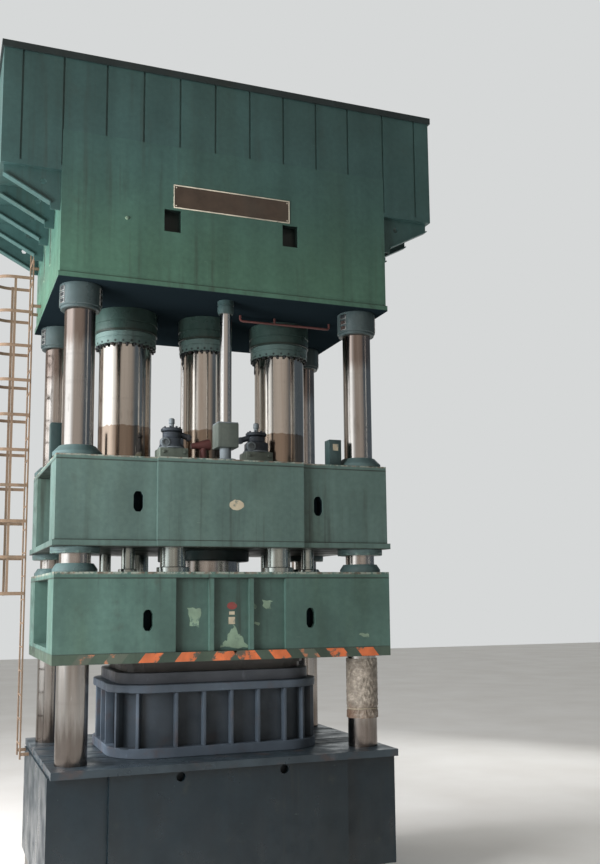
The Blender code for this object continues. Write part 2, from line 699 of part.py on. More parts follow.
def build_cylinders():
    """Main cylinders in the crown, their bolted gland rings, and the return glands."""
    for (x, radius), name in zip(ram_places(), RAM_NAMES):
        inner = radius + RUN
        outer = inner + CYLINDER_WALL
        low, high = CROWN_Z - CYLINDER_STANDOUT, CROWN_TOP
        profile = [(0, high), (outer, high), (outer, low), (inner, low),
                   (inner, high - CYLINDER_TOP_COVER), (0, high - CYLINDER_TOP_COVER)]
        mesh = turned_mesh(profile, RAM_SIDES)
        piece("cylinder_" + name, mesh, "green_paint", (x, 0, 0))
        place = (x, 0, low - SEAT - GLAND_RING_HEIGHT)
        ring = piece("gland_ring_" + name, ring_mesh(inner + GLAND_RING_WALL, inner, 0,
                                                     GLAND_RING_HEIGHT, RAM_SIDES),
                     "bright_bolt_steel", place)
        head = bolt_mesh(GLAND_BOLT_ACROSS, GLAND_BOLT_HEIGHT + FUSE)
        reach = inner + GLAND_RING_WALL / 2
        heads = []
        for i in range(GLAND_BOLTS):
            angle = 2 * math.pi * (i + 0.5) / GLAND_BOLTS
            heads.append((head, at(reach * math.cos(angle), reach * math.sin(angle),
                                   -GLAND_BOLT_HEIGHT, math.degrees(angle))))
        join(ring, gather(heads), "bolt_heads", place)

    low = CROWN_Z - SEAT - RETURN_GLAND_HEIGHT
    lip = low + RETURN_GLAND_LIP
    inner = RETURN_ROD_RADIUS + RUN
    profile = [(RETURN_GLAND_RADIUS, CROWN_Z - SEAT), (RETURN_GLAND_RADIUS, lip),
               (RETURN_GLAND_RADIUS - RETURN_GLAND_TAPER, low), (inner, low), (inner, CROWN_Z - SEAT)]
    for side, name in ENDS:
        piece("return_gland_" + name, turned_mesh(profile, ROD_SIDES, ring=True),
              "dark_green_paint", (0, side * RETURN_ROD_Y, 0))


def bolt_mesh(across, height):
    """A hexagon bolt head standing on Z = 0."""
    loop = arc((0, 0), across / 2 / math.cos(math.radians(30)), 0, 300, 5)
    mesh = outline_mesh([loop], height)
    mesh.transform(Matrix.Translation((0, 0, height / 2)))
    return mesh


def tool_plan(inset, thickness, low):
    """A slab of the tool's rounded plan, drawn in by an inset, standing on a height."""
    loop = rounded_rectangle(DIE_WIDTH - 2 * inset, DIE_DEPTH - 2 * inset, DIE_CORNER - inset)
    mesh = outline_mesh([loop], thickness)
    mesh.transform(Matrix.Translation((0, 0, low + thickness / 2)))
    return mesh


def build_die():
    """Ribbed die base, die ring and ejector cylinder."""
    top = DIE_Z + DIE_BASE_HEIGHT
    base = piece("die_base", tool_plan(0, DIE_FOOT_THICK, DIE_Z), "dark_cast_iron")
    wall_low, wall_high = DIE_Z + DIE_FOOT_THICK / 2, top - DIE_FLANGE_THICK / 2
    join(base, tool_plan(DIE_WALL_INSET, wall_high - wall_low, wall_low), "wall")
    join(base, tool_plan(0, DIE_FLANGE_THICK, top - DIE_FLANGE_THICK), "flange")
    join(base, gather(die_ribs()), "ribs")
    cut(base, cylinder_mesh(DIE_CAVITY_RADIUS, DIE_Z - OVERSHOOT, top + OVERSHOOT, PUNCH_SIDES), "cavity")

    ring = piece("die_ring", tool_plan(DIE_RING_INSET, DIE_RING_HEIGHT, DIE_RING_Z), "dark_cast_iron")
    throat, edge = DIE_THROAT_RADIUS, DIE_THROAT_ROUND
    entry = [(throat + edge * (1 - math.cos(math.radians(a))),
              DIE_TOP - edge * (1 - math.sin(math.radians(a)))) for a in (90, 60, 30, 0)]
    profile = [(0, DIE_TOP + OVERSHOOT), (throat + edge, DIE_TOP + OVERSHOOT)] + entry
    profile += [(throat, DIE_RING_Z - OVERSHOOT), (0, DIE_RING_Z - OVERSHOOT)]
    cut(ring, turned_mesh(profile, PUNCH_SIDES), "throat")

    inner, floor = EJECTOR_ROD_RADIUS + RUN, BED_Z
    shoulder, low = BED_Z - SEAT, BED_Z - SEAT - EJECTOR_FLANGE_THICK
    profile = [(0, floor), (inner, floor), (inner, BED_TOP), (EJECTOR_BODY_RADIUS, BED_TOP),
               (EJECTOR_BODY_RADIUS, shoulder), (EJECTOR_FLANGE_RADIUS, shoulder),
               (EJECTOR_FLANGE_RADIUS, low), (0, low)]
    piece("ejector_cylinder", turned_mesh(profile, RAM_SIDES), "green_paint")


def die_ribs():
    """Upright ribs round the die base, between its foot and its flange."""
    low, high = DIE_Z + DIE_FOOT_THICK / 2, DIE_Z + DIE_BASE_HEIGHT - DIE_FLANGE_THICK / 2
    reach = DIE_WALL_INSET + 0.05 - DIE_RIB_INSET
    rib = box_mesh((DIE_RIB_THICK, reach, high - low))
    z = (low + high) / 2
    ribs = []
    half_x, half_y = DIE_WIDTH / 2 - DIE_RIB_INSET, DIE_DEPTH / 2 - DIE_RIB_INSET
    for i in range(-2, 3):
        x = DIE_RIB_OFFSET + i * DIE_RIB_PITCH
        for side in (-1, 1):
            ribs.append((rib, at(x, side * (half_y - reach / 2), z)))
    for i in (-1, 0, 1):
        for side in (-1, 1):
            ribs.append((rib, at(side * (half_x - reach / 2), i * DIE_RIB_PITCH, z, 90)))
    corner = DIE_CORNER - DIE_RIB_INSET - reach / 2
    cx, cy = DIE_WIDTH / 2 - DIE_CORNER, DIE_DEPTH / 2 - DIE_CORNER
    for sx in (-1, 1):
        for sy in (-1, 1):
            for angle in (27, 63):
                a = math.radians(angle)
                x, y = sx * (cx + corner * math.cos(a)), sy * (cy + corner * math.sin(a))
                turn = math.degrees(math.atan2(sy * math.sin(a), sx * math.cos(a))) - 90
                ribs.append((rib, at(x, y, z, turn)))
    return ribs


def slab(low, high, inset_x=0.0, inset_y=0.0):
    """A slab of the slides' plan between two heights, drawn in by two insets."""
    x, y = SLIDE_WIDTH / 2 - inset_x, SLIDE_DEPTH / 2 - inset_y
    return span_mesh((-x, -y, low), (x, y, high))


def side_recesses(obj, low, high):
    """The open bays in a slide's sides, between its corner blocks and its shelves."""
    x, y = SLIDE_WIDTH / 2, SLIDE_DEPTH / 2 - CORNER_BLOCK_DEPTH
    bay = span_mesh((x - SIDE_RECESS, -y, low), (x + OVERSHOOT, y, high))
    cut(obj, gather([(bay, at(0, 0)), (bay, at(0, 0, 0, 180))]), "side_recesses")


def face_holes(obj, x, face, z, name):
    """Obround lightening holes in the front and rear faces of a slide."""
    hole = obround_mesh(HOLE_WIDTH, HOLE_HEIGHT, 2 * HOLE_DEPTH)
    holes = [(hole, at(sx * x, sy * face, z)) for sx in (-1, 1) for sy in (-1, 1)]
    cut(obj, gather(holes), name)


def four_places(x, y):
    return [at(sx * x, sy * y) for sx, sy in QUARTERS]


def column_glands(slide, name, foot, height, level, hanging=False):
    """Join four guide glands on the column centres to a slide, a cone on a disc or a plain disc."""
    disc = GLAND_DISC_SHARE * height
    if hanging:
        profile = [(0, FUSE), (foot, FUSE), (foot, -height), (0, -height)]
    else:
        profile = [(0, height), (GLAND_TOP_RADIUS, height), (foot, disc), (foot, -FUSE), (0, -FUSE)]
    gland = turned_mesh(profile, COLUMN_SIDES)
    join(slide, gather([(gland, at(x, y, level)) for x, y in CORNERS]), name)


def guide_bores(slide, low, high):
    """Bores for the columns that are wide inside the slide and run close at both its ends."""
    narrow, wide = COLUMN_RADIUS + RUN, COLUMN_RADIUS + PLAY
    end, land = GLAND_HEIGHT + OVERSHOOT, GUIDE_LAND
    profile = [(0, high + end), (narrow, high + end), (narrow, high - land), (wide, high - land),
               (wide, low + land), (narrow, low + land), (narrow, low - end), (0, low - end)]
    bore = turned_mesh(profile, COLUMN_SIDES)
    cut(slide, gather([(bore, at(x, y)) for x, y in CORNERS]), "column_bores")


def build_holder_slide():
    """Blank-holder slide with its base plate, ring, rods and glands."""
    carrier = motion("blank_holder_motion", HOLDER_Z)
    slide = piece("blank_holder_slide", slab(0, HOLDER_SLIDE_HEIGHT), "green_paint",
                  (0, 0, HOLDER_Z), carrier)
    side_recesses(slide, HOLDER_Z + SIDE_SHELF, HOLDER_TOP - HOLDER_TOP_FLANGE)
    face = SLIDE_DEPTH / 2
    panel_top = HOLDER_TOP - HOLDER_TOP_FLANGE
    edges = sorted([sx * x for x in HOLDER_RIBS_X for sx in (-1, 1)])
    recesses = []
    for first, second in zip(edges, edges[1:]):
        low = (first + HOLDER_RIB_THICK / 2, -HOLDER_PANEL_RECESS, HOLDER_Z - OVERSHOOT)
        high = (second - HOLDER_RIB_THICK / 2, HOLDER_PANEL_RECESS, panel_top)
        for side in (-1, 1):
            recesses.append((span_mesh(low, high), at(0, side * face)))
    cut(slide, gather(recesses), "panel_recesses")
    column_glands(slide, "top_glands", LOW_GLAND_RADIUS, LOW_GLAND_HEIGHT, HOLDER_TOP)
    low, high = HOLDER_Z - OVERSHOOT, HOLDER_TOP + OVERSHOOT
    cut(slide, cylinder_mesh(HOLDER_BORE_RADIUS, low, high, PUNCH_SIDES), "punch_bore")
    hole_z = HOLDER_Z + HOLDER_HOLE_LIFT
    face_holes(slide, HOLDER_HOLE_X, face, hole_z, "holes")
    guide_bores(slide, HOLDER_Z, HOLDER_TOP)

    plate = piece("blank_holder_base_plate", slab(0, BASE_PLATE_THICK), "green_paint",
                  (0, 0, BASE_PLATE_Z), carrier)
    low, high = BASE_PLATE_Z - OVERSHOOT, HOLDER_Z + OVERSHOOT
    cut(plate, column_bores(COLUMN_RADIUS + PLAY, low, high), "column_bores")
    cut(plate, cylinder_mesh(HOLDER_BORE_RADIUS, low, high, PUNCH_SIDES), "punch_bore")

    half = HOLDER_RING_HEIGHT / 2
    step = tool_plan(HOLDER_RING_INSET - HOLDER_RING_STEP, half, half)
    ring = piece("blank_holder_ring", tool_plan(HOLDER_RING_INSET, 1.5 * half, 0),
                 "dark_cast_iron", (0, 0, HOLDER_RING_Z), carrier)
    join(ring, step, "step", (0, 0, HOLDER_RING_Z))
    bore = cylinder_mesh(DIE_THROAT_RADIUS, HOLDER_RING_Z - OVERSHOOT, BASE_PLATE_Z + OVERSHOOT, PUNCH_SIDES)
    cut(ring, bore, "punch_bore")

    length = SLIDE_GAP + HOLDER_ROD_REACH
    rod = footed_rod(HOLDER_ROD_RADIUS, HOLDER_ROD_FOOT, HOLDER_ROD_FOOT_HEIGHT, length)
    guide = footed_rod(GUIDE_ROD_RADIUS, GUIDE_ROD_FOOT, GUIDE_ROD_FOOT_HEIGHT, length)
    for (sx, sy), name in zip(QUARTERS, CORNER_NAMES):
        piece("blank_holder_rod_" + name, rod.copy(), "ground_steel",
              (sx * HOLDER_ROD_X, sy * HOLDER_ROD_Y, HOLDER_TOP + SEAT), carrier)
        piece("guide_rod_" + name, guide.copy(), "ground_steel",
              (sx * GUIDE_ROD_X, sy * GUIDE_ROD_Y, HOLDER_TOP + SEAT), carrier)


def footed_rod(radius, foot_radius, foot_height, length):
    """A rod with a round foot, standing on Z = 0."""
    profile = [(0, length), (radius, length), (radius, foot_height), (foot_radius, foot_height),
               (foot_radius, 0), (0, 0)]
    return turned_mesh(profile, ROD_SIDES)


def build_main_slide():
    """Main slide with its glands, rams, rods, valve blocks, cabinets, punch holder and punch."""
    carrier = motion("main_slide_motion", MAIN_Z)
    body, proud = MAIN_Z + MAIN_FLANGE_THICK, MAIN_FLANGE_PROUD
    slide = piece("main_slide", slab(0, MAIN_TOP - MAIN_Z, 0, proud), "green_paint",
                  (0, 0, MAIN_Z), carrier)
    join(slide, slab(MAIN_Z, body, -proud), "bottom_flange")
    face = SLIDE_DEPTH / 2 - proud
    middle = box_mesh((MAIN_MIDDLE_WIDTH, 2 * (face + MAIN_MIDDLE_PROUD), MAIN_TOP - MAIN_Z),
                      (0, 0, (MAIN_Z + MAIN_TOP) / 2))
    join(slide, middle, "middle_section")
    side_recesses(slide, body, MAIN_TOP - SIDE_SHELF)
    column_glands(slide, "top_glands", GLAND_FOOT_RADIUS, GLAND_HEIGHT, MAIN_TOP)
    column_glands(slide, "bottom_glands", HANGING_GLAND_RADIUS, HANGING_GLAND_HEIGHT, MAIN_Z, True)
    low, depth = MAIN_Z - OVERSHOOT, MAIN_Z + HOLDER_ROD_REACH + BORE_END_ROOM
    big = cylinder_mesh(HOLDER_ROD_RADIUS + RUN, low, depth, ROD_SIDES)
    cut(slide, gather([(big, place) for place in four_places(HOLDER_ROD_X, HOLDER_ROD_Y)]), "rod_bores")
    small = cylinder_mesh(GUIDE_ROD_RADIUS + RUN, low, depth, ROD_SIDES)
    cut(slide, gather([(small, place) for place in four_places(GUIDE_ROD_X, GUIDE_ROD_Y)]),
        "guide_bores")
    hole_z = MAIN_Z + MAIN_HOLE_LIFT
    face_holes(slide, MAIN_HOLE_X, face, hole_z, "holes")
    guide_bores(slide, MAIN_Z, MAIN_TOP)

    for (x, radius), name in zip(ram_places(), RAM_NAMES):
        mesh = cylinder_mesh(radius, 0, ram_top() - MAIN_TOP - SEAT, RAM_SIDES)
        piece("main_ram_" + name, mesh, "ground_steel", (x, 0, MAIN_TOP + SEAT), carrier)

    build_return_rods(carrier)
    build_valve_blocks(carrier)
    for (x, y), size, name in ((FRONT_CABINET, FRONT_CABINET_SIZE, "front"),
                               (REAR_CABINET, REAR_CABINET_SIZE, "rear")):
        place = (x, y, MAIN_TOP + SEAT + size[2] / 2)
        piece("cabinet_" + name, box_mesh(size), "dark_green_paint", place, carrier)

    plate_low = MAIN_Z - SEAT - PUNCH_PLATE_THICK
    plate = cylinder_mesh(PUNCH_PLATE_RADIUS, 0, PUNCH_PLATE_THICK, PUNCH_SIDES)
    piece("punch_holder", plate, "dark_cast_iron", (0, 0, plate_low), carrier)
    top, bottom = plate_low - SEAT, DIE_TOP - DRAW_DEPTH
    profile = [(0, top), (PUNCH_RADIUS, top)]
    for i in range(PUNCH_DOME_STEPS + 1):
        angle = math.radians(90 * i / PUNCH_DOME_STEPS)
        profile.append((PUNCH_RADIUS * math.cos(angle), bottom + PUNCH_DOME * (1 - math.sin(angle))))
    profile[-1] = (0, bottom)
    punch = turned_mesh([(r, z - bottom) for r, z in profile], PUNCH_SIDES)
    piece("punch", punch, "ground_steel", (0, 0, bottom), carrier)


def build_return_rods(carrier):
    """The two slim return rods and the blocks that tie them to the main slide."""
    block_low = BLOCK_FOOT_HEIGHT
    rod_low = MAIN_TOP + SEAT + block_low + BLOCK_HEIGHT + SEAT
    length = CROWN_Z + RETURN_ROD_REACH - rod_low
    profile = [(0, block_low + FUSE), (BLOCK_FOOT_RADIUS, block_low + FUSE),
               (BLOCK_FOOT_RADIUS, BLOCK_FOOT_FLANGE_THICK), (BLOCK_FOOT_FLANGE, BLOCK_FOOT_FLANGE_THICK),
               (BLOCK_FOOT_FLANGE, 0), (0, 0)]
    for side, name in ENDS:
        y = side * RETURN_ROD_Y
        piece("return_rod_" + name, cylinder_mesh(RETURN_ROD_RADIUS, 0, length, ROD_SIDES),
              "ground_steel", (0, y, rod_low), carrier)
        place = (0, y, MAIN_TOP + SEAT)
        block = box_mesh((BLOCK_SIZE, BLOCK_SIZE, BLOCK_HEIGHT), (0, 0, block_low + BLOCK_HEIGHT / 2))
        obj = piece("return_rod_block_" + name, block, "green_paint", place, carrier)
        join(obj, turned_mesh(profile, ROD_SIDES), "foot", place)


def build_valve_blocks(carrier):
    """Two valve blocks on the main slide: a base, a tapered body, a collar, a post and an arm."""
    base_top = VALVE_BASE_HEIGHT
    body_top = base_top + VALVE_BODY_HEIGHT
    collar_top = body_top + VALVE_COLLAR_HEIGHT
    low, high, slope_start = VALVE_BODY_LOW, VALVE_BODY_HIGH, base_top + VALVE_SHOULDER
    outline = [(-VALVE_BASE, 0), (VALVE_BASE, 0), (VALVE_BASE, base_top), (low, base_top),
               (low, slope_start), (high, body_top), (-high, body_top), (-low, slope_start),
               (-low, base_top), (-VALVE_BASE, base_top)]
    for side, name in ((-1, "left"), (1, "right")):
        place = (side * VALVE_X, -VALVE_Y, MAIN_TOP + SEAT)
        obj = piece("valve_block_" + name, upright(outline_mesh([outline], VALVE_DEPTH)),
                    "dark_cast_iron", place, carrier)
        profile = [(0, collar_top + VALVE_POST_HEIGHT), (VALVE_POST_RADIUS, collar_top + VALVE_POST_HEIGHT),
                   (VALVE_POST_RADIUS, collar_top), (VALVE_COLLAR_RADIUS, collar_top),
                   (VALVE_COLLAR_RADIUS, body_top - FUSE), (0, body_top - FUSE)]
        join(obj, turned_mesh(profile, ROD_SIDES), "post", place)
        arm = box_mesh((VALVE_ARM_REACH, VALVE_ARM_SIZE, VALVE_ARM_SIZE),
                       (-side * VALVE_ARM_REACH / 2, 0, base_top + VALVE_ARM_LIFT))
        join(obj, arm, "arm", place)


def build_ejector():
    """Ejector ram with its pad, which rises through the bolster into the die."""
    carrier = motion("ejector_motion", TABLE_Z)
    pad_low = TABLE_Z - EJECTOR_PAD_THICK
    profile = [(0, TABLE_Z), (EJECTOR_PAD_RADIUS, TABLE_Z), (EJECTOR_PAD_RADIUS, pad_low),
               (EJECTOR_ROD_RADIUS, pad_low), (EJECTOR_ROD_RADIUS, TABLE_Z - EJECTOR_ROD_REACH),
               (0, TABLE_Z - EJECTOR_ROD_REACH)]
    mesh = turned_mesh([(r, z - TABLE_Z) for r, z in profile], RAM_SIDES)
    piece("ejector_ram", mesh, "ground_steel", (0, 0, TABLE_Z), carrier)


def build_pipe():
    """The thin drain pipe under the crown, turned up into it at both ends."""
    top, run = CROWN_Z - SEAT, CROWN_Z - PIPE_DROP
    bend = 2 * PIPE_RADIUS
    first, last = PIPE_X
    loop = [(first, top)] + arc((first + bend, run + bend), bend, 180, 270, 3)
    loop += arc((last - bend, run + bend), bend, 270, 360, 3) + [(last, top)]
    curve = bpy.data.curves.new("pipe", "CURVE")
    curve.dimensions = "3D"
    curve.bevel_depth = PIPE_RADIUS
    curve.bevel_resolution = 1
    curve.use_fill_caps = True
    spline = curve.splines.new("POLY")
    spline.points.add(len(loop) - 1)
    for point, (x, z) in zip(spline.points, loop):
        point.co = (x, PIPE_Y, z, 1)
    obj = bpy.data.objects.new("pipe", curve)
    CUTTERS.objects.link(obj)
    piece("drain_pipe", evaluated_mesh(obj), "red_brown_paint")


def build_ladder():
    """Access ladder on the left side under the wing, welded up with its brackets and cage."""
    rail_x, rail_y = LADDER_RAIL
    low, high = BED_TOP - LADDER_FOOT_DROP, WING_Z - SEAT
    half, x = LADDER_WIDTH / 2, -(CROWN_SIDE + CROWN_LIP_PROUD + LADDER_GAP)
    rail = box_mesh((rail_x, rail_y, high - low), (0, 0, (low + high) / 2))
    rails = gather([(rail, at(x, LADDER_Y + side * half)) for side in (-1, 1)])
    ladder = piece("access_ladder", rails, "rusty_ladder_paint")
    rung = cylinder_mesh(RUNG_RADIUS, -half, half, RUNG_SIDES)
    rung.transform(Matrix.Rotation(math.radians(90), 4, "X"))
    count = int((high - LADDER_TOP_GAP - low) / RUNG_PITCH)
    heights = [high - LADDER_TOP_GAP - i * RUNG_PITCH for i in range(count)]
    join(ladder, gather([(rung, at(x, LADDER_Y, z)) for z in heights]), "rungs")

    tall, thick = BRACKET_SIZE
    arms = [(CROWN_Z + lift, CROWN_SIDE) for lift in LADDER_BRACKETS]
    arms.append((low + BRACKET_SIZE[0], BED_WIDTH / 2))
    brackets = []
    for z, wall in arms:
        for side in (-1, 1):
            y = LADDER_Y + side * half
            brackets.append(span_mesh((x, y - thick / 2, z), (-wall - SEAT, y + thick / 2, z + tall)))
    join(ladder, gather(brackets), "brackets")
    hoops, strips = cage(x - rail_x / 2 + FUSE)
    join(ladder, hoops, "cage_hoops")
    join(ladder, strips, "cage_strips")


def cage(rail):
    """The cage round the climber: hoops whose feet are on the rails, and strips inside them."""
    thick, tall = HOOP_BAR
    centre, foot = rail - CAGE_STRAIGHT, CAGE_RADIUS - HOOP_FOOT
    outer = arc((centre, 0), CAGE_RADIUS, 90, 270, HOOP_ARC_STEPS)
    inner = arc((centre, 0), CAGE_RADIUS - thick, 270, 90, HOOP_ARC_STEPS)
    loop = [(rail, foot), (rail, CAGE_RADIUS)] + outer
    loop += [(rail, -CAGE_RADIUS), (rail, -foot), (rail - thick, -foot)]
    loop += [(rail - thick, thick - CAGE_RADIUS)] + inner
    loop += [(rail - thick, CAGE_RADIUS - thick), (rail - thick, foot)]
    hoop = outline_mesh([loop], tall)
    low, limit = TABLE_Z + CAGE_START, WING_Z - CAGE_TOP_ROOM
    count = int((limit - low - tall) / HOOP_PITCH) + 1
    hoops = [(hoop, at(0, LADDER_Y, low + tall / 2 + i * HOOP_PITCH)) for i in range(count)]

    bar, width = STRIP_BAR
    high = low + (count - 1) * HOOP_PITCH + tall
    flat = (CAGE_RADIUS - thick) * math.cos(math.pi / 2 / HOOP_ARC_STEPS)
    strip = box_mesh((bar, width, high - low + 2 * FUSE), (0, 0, (low + high) / 2))
    places = [at(centre - flat, LADDER_Y)]
    for side in (-1, 1):
        y = LADDER_Y + side * (CAGE_RADIUS - thick)
        places.append(at(centre + STRIP_SETBACK, y, 0, 90))
    return gather(hoops), gather([(strip, place) for place in places])


def build_wrap():
    """The film wrapped round the front right column."""
    x, y = CORNERS[CORNER_NAMES.index("front_right")]
    inner = COLUMN_RADIUS + SEAT
    wrap = ring_mesh(inner + WRAP_THICK, inner, 0, WRAP_LENGTH, COLUMN_SIDES)
    piece("column_wrap", wrap, "beige_film", (x, y, TABLE_Z + WRAP_START))


build_bed()
build_columns()
build_crown()
build_tank()
build_cylinders()
build_die()
build_holder_slide()
build_main_slide()
build_ejector()
build_pipe()
build_ladder()
build_wrap()
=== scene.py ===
"""Looks of the four-column double-slide hydraulic press: fine shapes, materials, light and camera.

Everything is in metres in the press's own coordinates, +Z up and front towards -Y, with the
press closed. Each piece rides on the body that carries it.
"""
import math
import random
import re

import bmesh
import bpy
from mathutils import Matrix, Vector, noise


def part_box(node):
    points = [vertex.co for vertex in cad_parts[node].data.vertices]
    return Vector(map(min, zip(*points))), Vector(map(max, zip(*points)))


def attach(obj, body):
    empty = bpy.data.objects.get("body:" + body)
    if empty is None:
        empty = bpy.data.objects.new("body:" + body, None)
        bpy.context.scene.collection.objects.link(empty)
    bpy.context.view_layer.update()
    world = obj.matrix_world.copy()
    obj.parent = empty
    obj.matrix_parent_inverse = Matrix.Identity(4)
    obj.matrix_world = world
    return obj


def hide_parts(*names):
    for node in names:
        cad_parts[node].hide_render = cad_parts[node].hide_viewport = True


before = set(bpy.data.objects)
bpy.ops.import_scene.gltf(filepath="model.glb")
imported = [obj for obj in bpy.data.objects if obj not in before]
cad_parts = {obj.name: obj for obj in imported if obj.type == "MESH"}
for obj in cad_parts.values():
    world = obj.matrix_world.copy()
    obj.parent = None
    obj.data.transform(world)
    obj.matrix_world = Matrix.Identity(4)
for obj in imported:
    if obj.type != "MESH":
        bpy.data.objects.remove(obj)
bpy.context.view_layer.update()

CORNERS = ("front_left", "front_right", "rear_left", "rear_right")
RAMS = ("left", "middle", "right")
QUARTERS = ((1, 1), (-1, 1), (-1, -1), (1, -1))
COLUMN_RADIUS = 0.22
PROUD = 0.0012          # how far a painted mark or a cover stands off what carries it


# Materials

def linear(*levels):
    """An sRGB colour of 0 to 255 as linear light."""
    shares = [level / 255 for level in levels]
    light = [share / 12.92 if share <= 0.04045 else ((share + 0.055) / 1.055) ** 2.4 for share in shares]
    return (*light, 1.0)


def shade(colour, factor):
    return tuple(channel * factor for channel in colour[:3]) + (1.0,)


class Nodes:
    """A node tree, with short calls for the nodes that the looks are made of."""

    def __init__(self, tree, coordinates):
        self.tree = tree
        self.where = self.node("ShaderNodeTexCoord").outputs[coordinates]

    def feed(self, socket, value):
        """Link a socket to an input, or set a plain value there."""
        if isinstance(value, bpy.types.NodeSocket):
            self.tree.links.new(value, socket)
        else:
            socket.default_value = value

    def node(self, kind, inputs=(), **settings):
        """A new node with its settings, and its inputs fed by name or number."""
        made = self.tree.nodes.new(kind)
        for key, value in settings.items():
            setattr(made, key, value)
        for key, value in dict(inputs).items():
            self.feed(made.inputs[key], value)
        return made

    def axis(self, letter):
        """The place along one axis."""
        return self.node("ShaderNodeSeparateXYZ", {0: self.where}).outputs[letter]

    def noise(self, scale, detail=3.0, stretch=(1, 1, 1), shift=0.0, rough=0.55):
        """Noise of so many features a metre; a stretch under 1 draws it out along that axis."""
        spot = self.node("ShaderNodeMapping", {"Vector": self.where, "Scale": stretch,
                                               "Location": (shift, 1.7 * shift, 0.6 * shift)})
        return self.node("ShaderNodeTexNoise", {"Vector": spot.outputs[0], "Scale": scale,
                                                "Detail": detail, "Roughness": rough}).outputs["Fac"]

    def span(self, value, low, high, to_low=0.0, to_high=1.0):
        """A smooth step, from to_low at the low value to to_high at the high one."""
        numbers = dict(enumerate((value, low, high, to_low, to_high)))
        return self.node("ShaderNodeMapRange", numbers, interpolation_type="SMOOTHSTEP").outputs[0]

    def height(self, low, high):
        """0 to 1 between two heights."""
        return self.span(self.axis("Z"), low, high)

    def near(self, level, width):
        """1 at a height and 0 a width above or below it."""
        return self.times(self.height(level + width, level), self.height(level - width, level))

    def inside(self, low, high):
        """1 in a box of space and 0 outside it, for shade painted into hollow pieces and recesses."""
        soft = 0.012
        shares = []
        for letter, start, end in zip("XYZ", low, high):
            shares += [self.span(self.axis(letter), start, start + soft),
                       self.span(self.axis(letter), end, end - soft)]
        return self.times(*shares)

    def math(self, operation, first, second=0.0):
        return self.node("ShaderNodeMath", {0: first, 1: second}, operation=operation).outputs[0]

    def times(self, first, *others):
        for other in others:
            first = self.math("MULTIPLY", first, other)
        return first

    def mix(self, share, first, second, mode="MIX"):
        return self.node("ShaderNodeMix", {0: share, 6: first, 7: second}, data_type="RGBA",
                         blend_type=mode).outputs[2]

    def over(self, tone, colour, low, high, share, noise, mode="MIX"):
        """Lay a share of a colour over a tone, coming in between two values of a noise."""
        return self.mix(self.span(self.noise(*noise), low, high, 0.0, share), tone, colour, mode)

    def ramp(self, share, stops):
        """A colour for each share, from stops of (place, colour)."""
        made = self.node("ShaderNodeValToRGB", {0: share})
        points = made.color_ramp.elements
        while len(points) < len(stops):
            points.new(0.5)
        for point, (place, colour) in zip(points, stops):
            point.position = place
            point.color = colour
        return made.outputs[0]

    def shades(self, where, colour, *stops):
        """Darker and lighter shades of a colour over a noise, from stops of (place, factor)."""
        return self.ramp(where, [(place, shade(colour, factor)) for place, factor in stops])


class Surface(Nodes):
    """A procedural material in object coordinates, which are the press's own at rest."""

    def __init__(self, name, roughness, metallic=0.0):
        self.material = bpy.data.materials.new(name)
        self.material.use_nodes = True
        super().__init__(self.material.node_tree, "Object")
        self.set("Roughness", roughness)
        self.set("Metallic", metallic)

    def set(self, name, value):
        """Feed one of the shader's inputs."""
        self.feed(self.tree.nodes["Principled BSDF"].inputs[name], value)

    def worn(self, where, low, high, smooth, rough):
        """Let the roughness run from smooth to rough between two values of a noise."""
        self.set("Roughness", self.span(where, low, high, smooth, rough))

    def bump(self, height, distance, strength):
        """Roughen the surface, on top of what roughens it already."""
        inputs = {"Height": height, "Distance": distance, "Strength": strength}
        normal = self.tree.nodes["Principled BSDF"].inputs["Normal"]
        if normal.is_linked:
            inputs["Normal"] = normal.links[0].from_socket
        self.set("Normal", self.node("ShaderNodeBump", inputs).outputs[0])


# Colours of painted shade: the blacker one for the crown's windows and recesses, the bluer one for the
# insides of the slides and the crown's underside.
BLACK_SHADE = (0.004, 0.006, 0.006, 1)
SHADE = (0.010, 0.016, 0.021, 1)
GRIME = linear(44, 46, 40)


